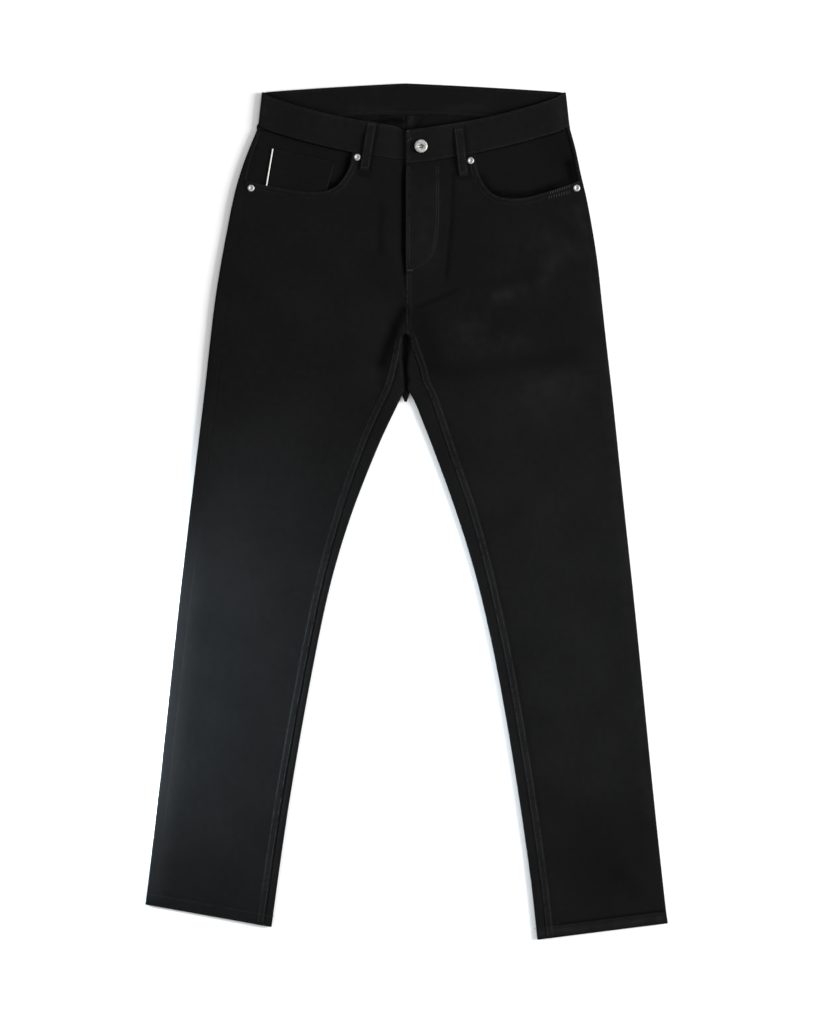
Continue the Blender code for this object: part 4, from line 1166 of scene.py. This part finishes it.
# %% Rows of the pockets
for side, away in (("right", 1), ("left", -1)):
    row("pockets", beside(pocket_mouth[side], away * 2.6))
    row("pockets", beside(pocket_mouth[side], away * 7.4))
bar_tack("pockets", [(191, 423.5), (219, 433)], 4.6, 3.4, lean=0.5, half=THICK_THREAD)
bar_tack("pockets", [(189, 417.5), (219.5, 425)], 4.6, 3.4, lean=0.5, half=THICK_THREAD)
row("pockets", [(-175, 480.5), (-98, 464)])
row("pockets", [(-97.5, 460), (-108.5, 424)])
print("stitches of the pockets:", stitches("pockets"))

# %% Rows of the inseams and the hems
for side, away in (("right", 1), ("left", -1)):
    row("inseams", beside(inseam[side], away * 2))
    row("inseams", beside(inseam[side], away * 8.2))
hem_row = {
    "right": [(-343.5, -509), (-175.5, -539.5)],
    "left": [(341, -534), (169, -556)],
}
for side, line in hem_row.items():
    row("hems", line)
    row("hems", line, FROM_BELOW)
print("stitches of the legs:", stitches("inseams") + stitches("hems"))

# %% Rows of the belt loops
LOOPS = {  # upper and lower end of the middle line, and the side from which the loop is seen
    "front_right": ((-46, 518), (-56.5, 453), FROM_ABOVE),
    "front_left": ((68.5, 510.5), (75.5, 446.5), FROM_ABOVE),
    "back_right": ((-118, 561), (-121, 497), FROM_BELOW),
    "back_centre": ((-1.5, 568.5), (-1.5, 503), FROM_BELOW),
    "back_left": ((121, 561.5), (124, 497), FROM_BELOW),
}
for top, low, start in LOOPS.values():
    top, low = Vector(top), Vector(low)
    inner = [top.lerp(low, 0.03), top.lerp(low, 0.97)]
    row("loops", beside(inner, 4.2), start)
    row("loops", beside(inner, -4.2), start)
    for share in (0.05, 0.93):
        bar_tack("loops", [top.lerp(low, share), top.lerp(low, share + 0.03)], 9, 0.8, start)
print("stitches of the loops:", stitches("loops"))

# %% Rows of the back
YOKE_SEAM = {"right": [(-206, 471), (-2.5, 458)], "left": [(219, 471), (-0.5, 458)]}
for side, away in (("right", -1), ("left", 1)):
    row("back", beside(YOKE_SEAM[side], away * 2), FROM_BELOW)
    row("back", beside(YOKE_SEAM[side], away * 7), FROM_BELOW)
for x in (0.5, 5.5):
    row("back", [(x, 172), (x, 456)], FROM_BELOW)
POCKET_TOP, POCKET_LOW, POCKET_POINT = 425, 297, 275
for middle in (-101, 99):
    for inside in (2.2, 8):
        half, low_half = 69 - inside, 64.2 - inside
        top, low = POCKET_TOP - 3, POCKET_LOW + inside * 0.3
        row("back", [(middle - half, top), (middle - low_half, low), (middle, POCKET_POINT + inside),
                     (middle + low_half, low), (middle + half, top)], FROM_BELOW)
    row("back", [(middle - 66, POCKET_TOP - 14), (middle + 66, POCKET_TOP - 14)], FROM_BELOW)
print("stitches of the back:", stitches("back"))

# %% Threads to pieces
sewing = {}
for group, work in threads.items():
    name = "stitches_" + group
    sewing[group] = finish_piece(name, mesh_from(work, name), thread_black)
print("pieces of sewing:", sorted(sewing))

# %% [markdown]
# ## Button and rivets
#
# The waist button is a shank button: a stamped steel cap with a rolled rim and a shallow dish,
# pressed onto a post through the cloth. Each rivet is a small cap with a burr in the middle. Both
# are turned shapes, so a profile of a few points is spun round the axis. The hollow in the middle
# is darker than the rim, because polish and wear reach only what stands out. Five plain rays are
# pressed round it, which stiffens the thin sheet.

# %% Turned metal
nickel_dark = patterned("nickel_in_the_dish", NOISE, None, {"Scale": 700.0, "Detail": 3.0},
                        ("#0e0e0d", "#2e2d2b"), {"Metallic": 1.0, "Roughness": 0.45})


def turned(name, profile, x, y, base, steps, dish, node):
    """Spins a profile of radius and height, in mm. Faces between the dish's radii are darker."""
    work = bmesh.new()
    corners = [work.verts.new((radius * MM, 0.0, height * MM)) for radius, height in profile]
    outline = [work.edges.new(pair) for pair in zip(corners, corners[1:])]
    bmesh.ops.spin(work, geom=corners + outline, cent=(0, 0, 0), axis=(0, 0, 1), dvec=(0, 0, 0),
                   angle=2 * math.pi, steps=steps, use_merge=True, use_duplicate=False)
    bmesh.ops.remove_doubles(work, verts=work.verts[:], dist=0.01 * MM)
    bmesh.ops.recalc_face_normals(work, faces=work.faces[:])
    for face in work.faces:
        middle = face.calc_center_median()
        if dish[0] < math.hypot(middle.x, middle.y) / MM < dish[1] and face.normal.z > 0.0:
            face.material_index = 1
    bmesh.ops.translate(work, verts=work.verts[:], vec=Vector((x, y, base)) * MM)
    made = finish_piece(name, mesh_from(work, name), nickel, node)
    made.data.materials.append(nickel_dark)
    return made


# %% Waist button and rivets
BUTTON = (19.0, 485.0, 9.3)
cap = [(0, 3), (1, 2.95), (1.7, 3), (2.1, 3.5), (2.6, 3.95), (3.6, 4.2), (4.8, 4.4), (6.2, 4.5),
       (7.2, 4.45), (7.9, 4.2), (8.4, 3.8), (8.65, 3.3), (8.5, 2.8), (8, 2.5), (3.6, 2.3), (3.4, 0.6),
       (4.6, 0), (0, 0)]
BUTTON_DISH, RIVET_DISH = (-1, 2.2), (-1, 1.9)  # from the middle outwards
hardware = [turned("waist_button_cap", cap, *BUTTON, 48, BUTTON_DISH, "waist_button")]
RAYS = 5
rays = bmesh.new()
for i in range(RAYS):
    turn = Matrix.Rotation(math.radians(360 / RAYS * i + 18), 4, "Z")
    place = Matrix.Translation(Vector(BUTTON) * MM) @ turn @ placing((2.5, 0.0, 3.75), (1.5, 0.8, 0.6))
    bmesh.ops.create_uvsphere(rays, u_segments=10, v_segments=6, radius=1.0, matrix=place)
hardware.append(finish_piece("waist_button_rays", mesh_from(rays, "waist_button_rays"), nickel_dark))
burr = [(0, 0.35), (1, 0.35), (1.5, 0.5), (1.9, 0.95), (2.4, 1.3), (3, 1.45), (3.5, 1.35), (3.95, 1),
        (4.3, 0.5), (4.6, 0.2), (4.6, 0), (0, 0)]
for name, x, y in (("rivet_right_inner", -65.8, 471), ("rivet_right_outer", -207, 430),
                   ("rivet_left_inner", 85, 466.5), ("rivet_left_outer", 226, 430)):
    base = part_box(name)[0].z / MM
    hardware.append(turned(name + "_cap", burr, x, y, base, 32, RIVET_DISH, name))
print("metal:", [o.name for o in hardware])

# %% [markdown]
# ## Zip teeth
#
# Behind the fly runs a metal zip. Its teeth are clamped to the two tapes in turn, left and right,
# so that they mesh along the middle. Each tooth is a small bevelled block.

# %% Teeth
ZIP_MIDDLE, ZIP_LOW, ZIP_TOP, ZIP_LEVEL = 9.0, 324.0, 441.0, 5.75
TOOTH_PITCH, TOOTH_SIZE, TOOTH_ASIDE = 1.4, (3.6, 1.0, 0.9), 0.9
TEETH = int((ZIP_TOP - ZIP_LOW) / TOOTH_PITCH)
teeth = bmesh.new()
for i in range(TEETH):
    aside = TOOTH_ASIDE if i % 2 else -TOOTH_ASIDE
    place = placing((ZIP_MIDDLE + aside, ZIP_LOW + i * TOOTH_PITCH, ZIP_LEVEL), TOOTH_SIZE)
    bmesh.ops.create_cube(teeth, size=1.0, matrix=place)
bmesh.ops.bevel(teeth, geom=teeth.edges[:], offset=0.15 * MM, segments=1, profile=0.5, affect="EDGES",
                material=-1)
zip_teeth = finish_piece("zip_teeth", mesh_from(teeth, "zip_teeth"), nickel)
zip_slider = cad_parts["zip_slider"]
zip_slider.data.materials.clear()
zip_slider.data.materials.append(nickel)
print("teeth:", TEETH)

# %% [markdown]
# ## The cut of each piece
#
# Every piece of cloth was cut flat before it was sewn. The sizes below are those of the cloth
# that shows, without the parts that are turned in at seams and hems. A rectangle holds each
# piece, and the area says how much of it the piece fills. Comparing that with the made surface
# shows whether the modelling has stretched the cloth.

# %% Cut sizes
CUTS = [  # piece, width and length in mm, area in square metres, what it lies on, what is sewn on it
    ("front_panel_right", 250, 1035, 0.187, ["back_panel_right"],
     ["inseam_fell_right", "outseam_ridge_right", "pocket_edge_right", "front_fell"]),
    ("front_panel_left", 260, 1050, 0.196, ["back_panel_left"],
     ["inseam_fell_left", "outseam_ridge_left", "pocket_edge_left", "fly_edge"]),
    ("back_panel_right", 295, 1040, 0.238, ["table", "back_pocket_right"],
     ["back_fell_outside", "seam_end_right"]),
    ("back_panel_left", 300, 1055, 0.248, ["table", "back_pocket_left"], ["fork_cloth", "seam_end_left"]),
    ("yoke_right", 214, 70, 0.0122, ["back_pocket_right"], []),
    ("yoke_left", 230, 70, 0.0132, ["back_pocket_left"], []),
    ("waistband", 44, 870, None, ["belt_loop_back_centre"],
     ["band_edge_right", "band_edge_left", "band_end_edge", "band_edge_back", "waist_seam_inside",
      "back_fell_inside"]),
    ("pocket_facing_right", 160, 104, 0.0117, ["yoke_right"], []),
    ("pocket_facing_left", 160, 110, 0.0124, ["yoke_left"], []),
    ("coin_pocket", 82, 56, 0.0042, ["pocket_facing_right"], ["coin_pocket_selvedge"]),
    ("back_pocket_right", 138, 150, 0.0186, ["table"], []),
    ("back_pocket_left", 138, 150, 0.0186, ["table"], []),
    ("fly_shield", 44, 146, None, ["back_panel_left"], []),
    ("zip", 24, 136, None, ["fly_shield"], ["zip_teeth", "zip_slider"]),
    ("belt_loop_front_right", 12.5, 67, None, ["waistband"], []),
    ("belt_loop_front_left", 12.5, 66, None, ["waistband"], []),
    ("belt_loop_back_right", 12.5, 65, None, ["table"], []),
    ("belt_loop_back_centre", 12.5, 65, None, ["table"], []),
    ("belt_loop_back_left", 12.5, 65, None, ["table"], []),
]
for name, width, length, area, under, sewn in CUTS:
    surface = sum(face.area for face in cloth[name].data.polygons) / 2
    print(f"{name}: made {surface:.4f} square metres, cut {area or width * length / 1e6:.4f}")
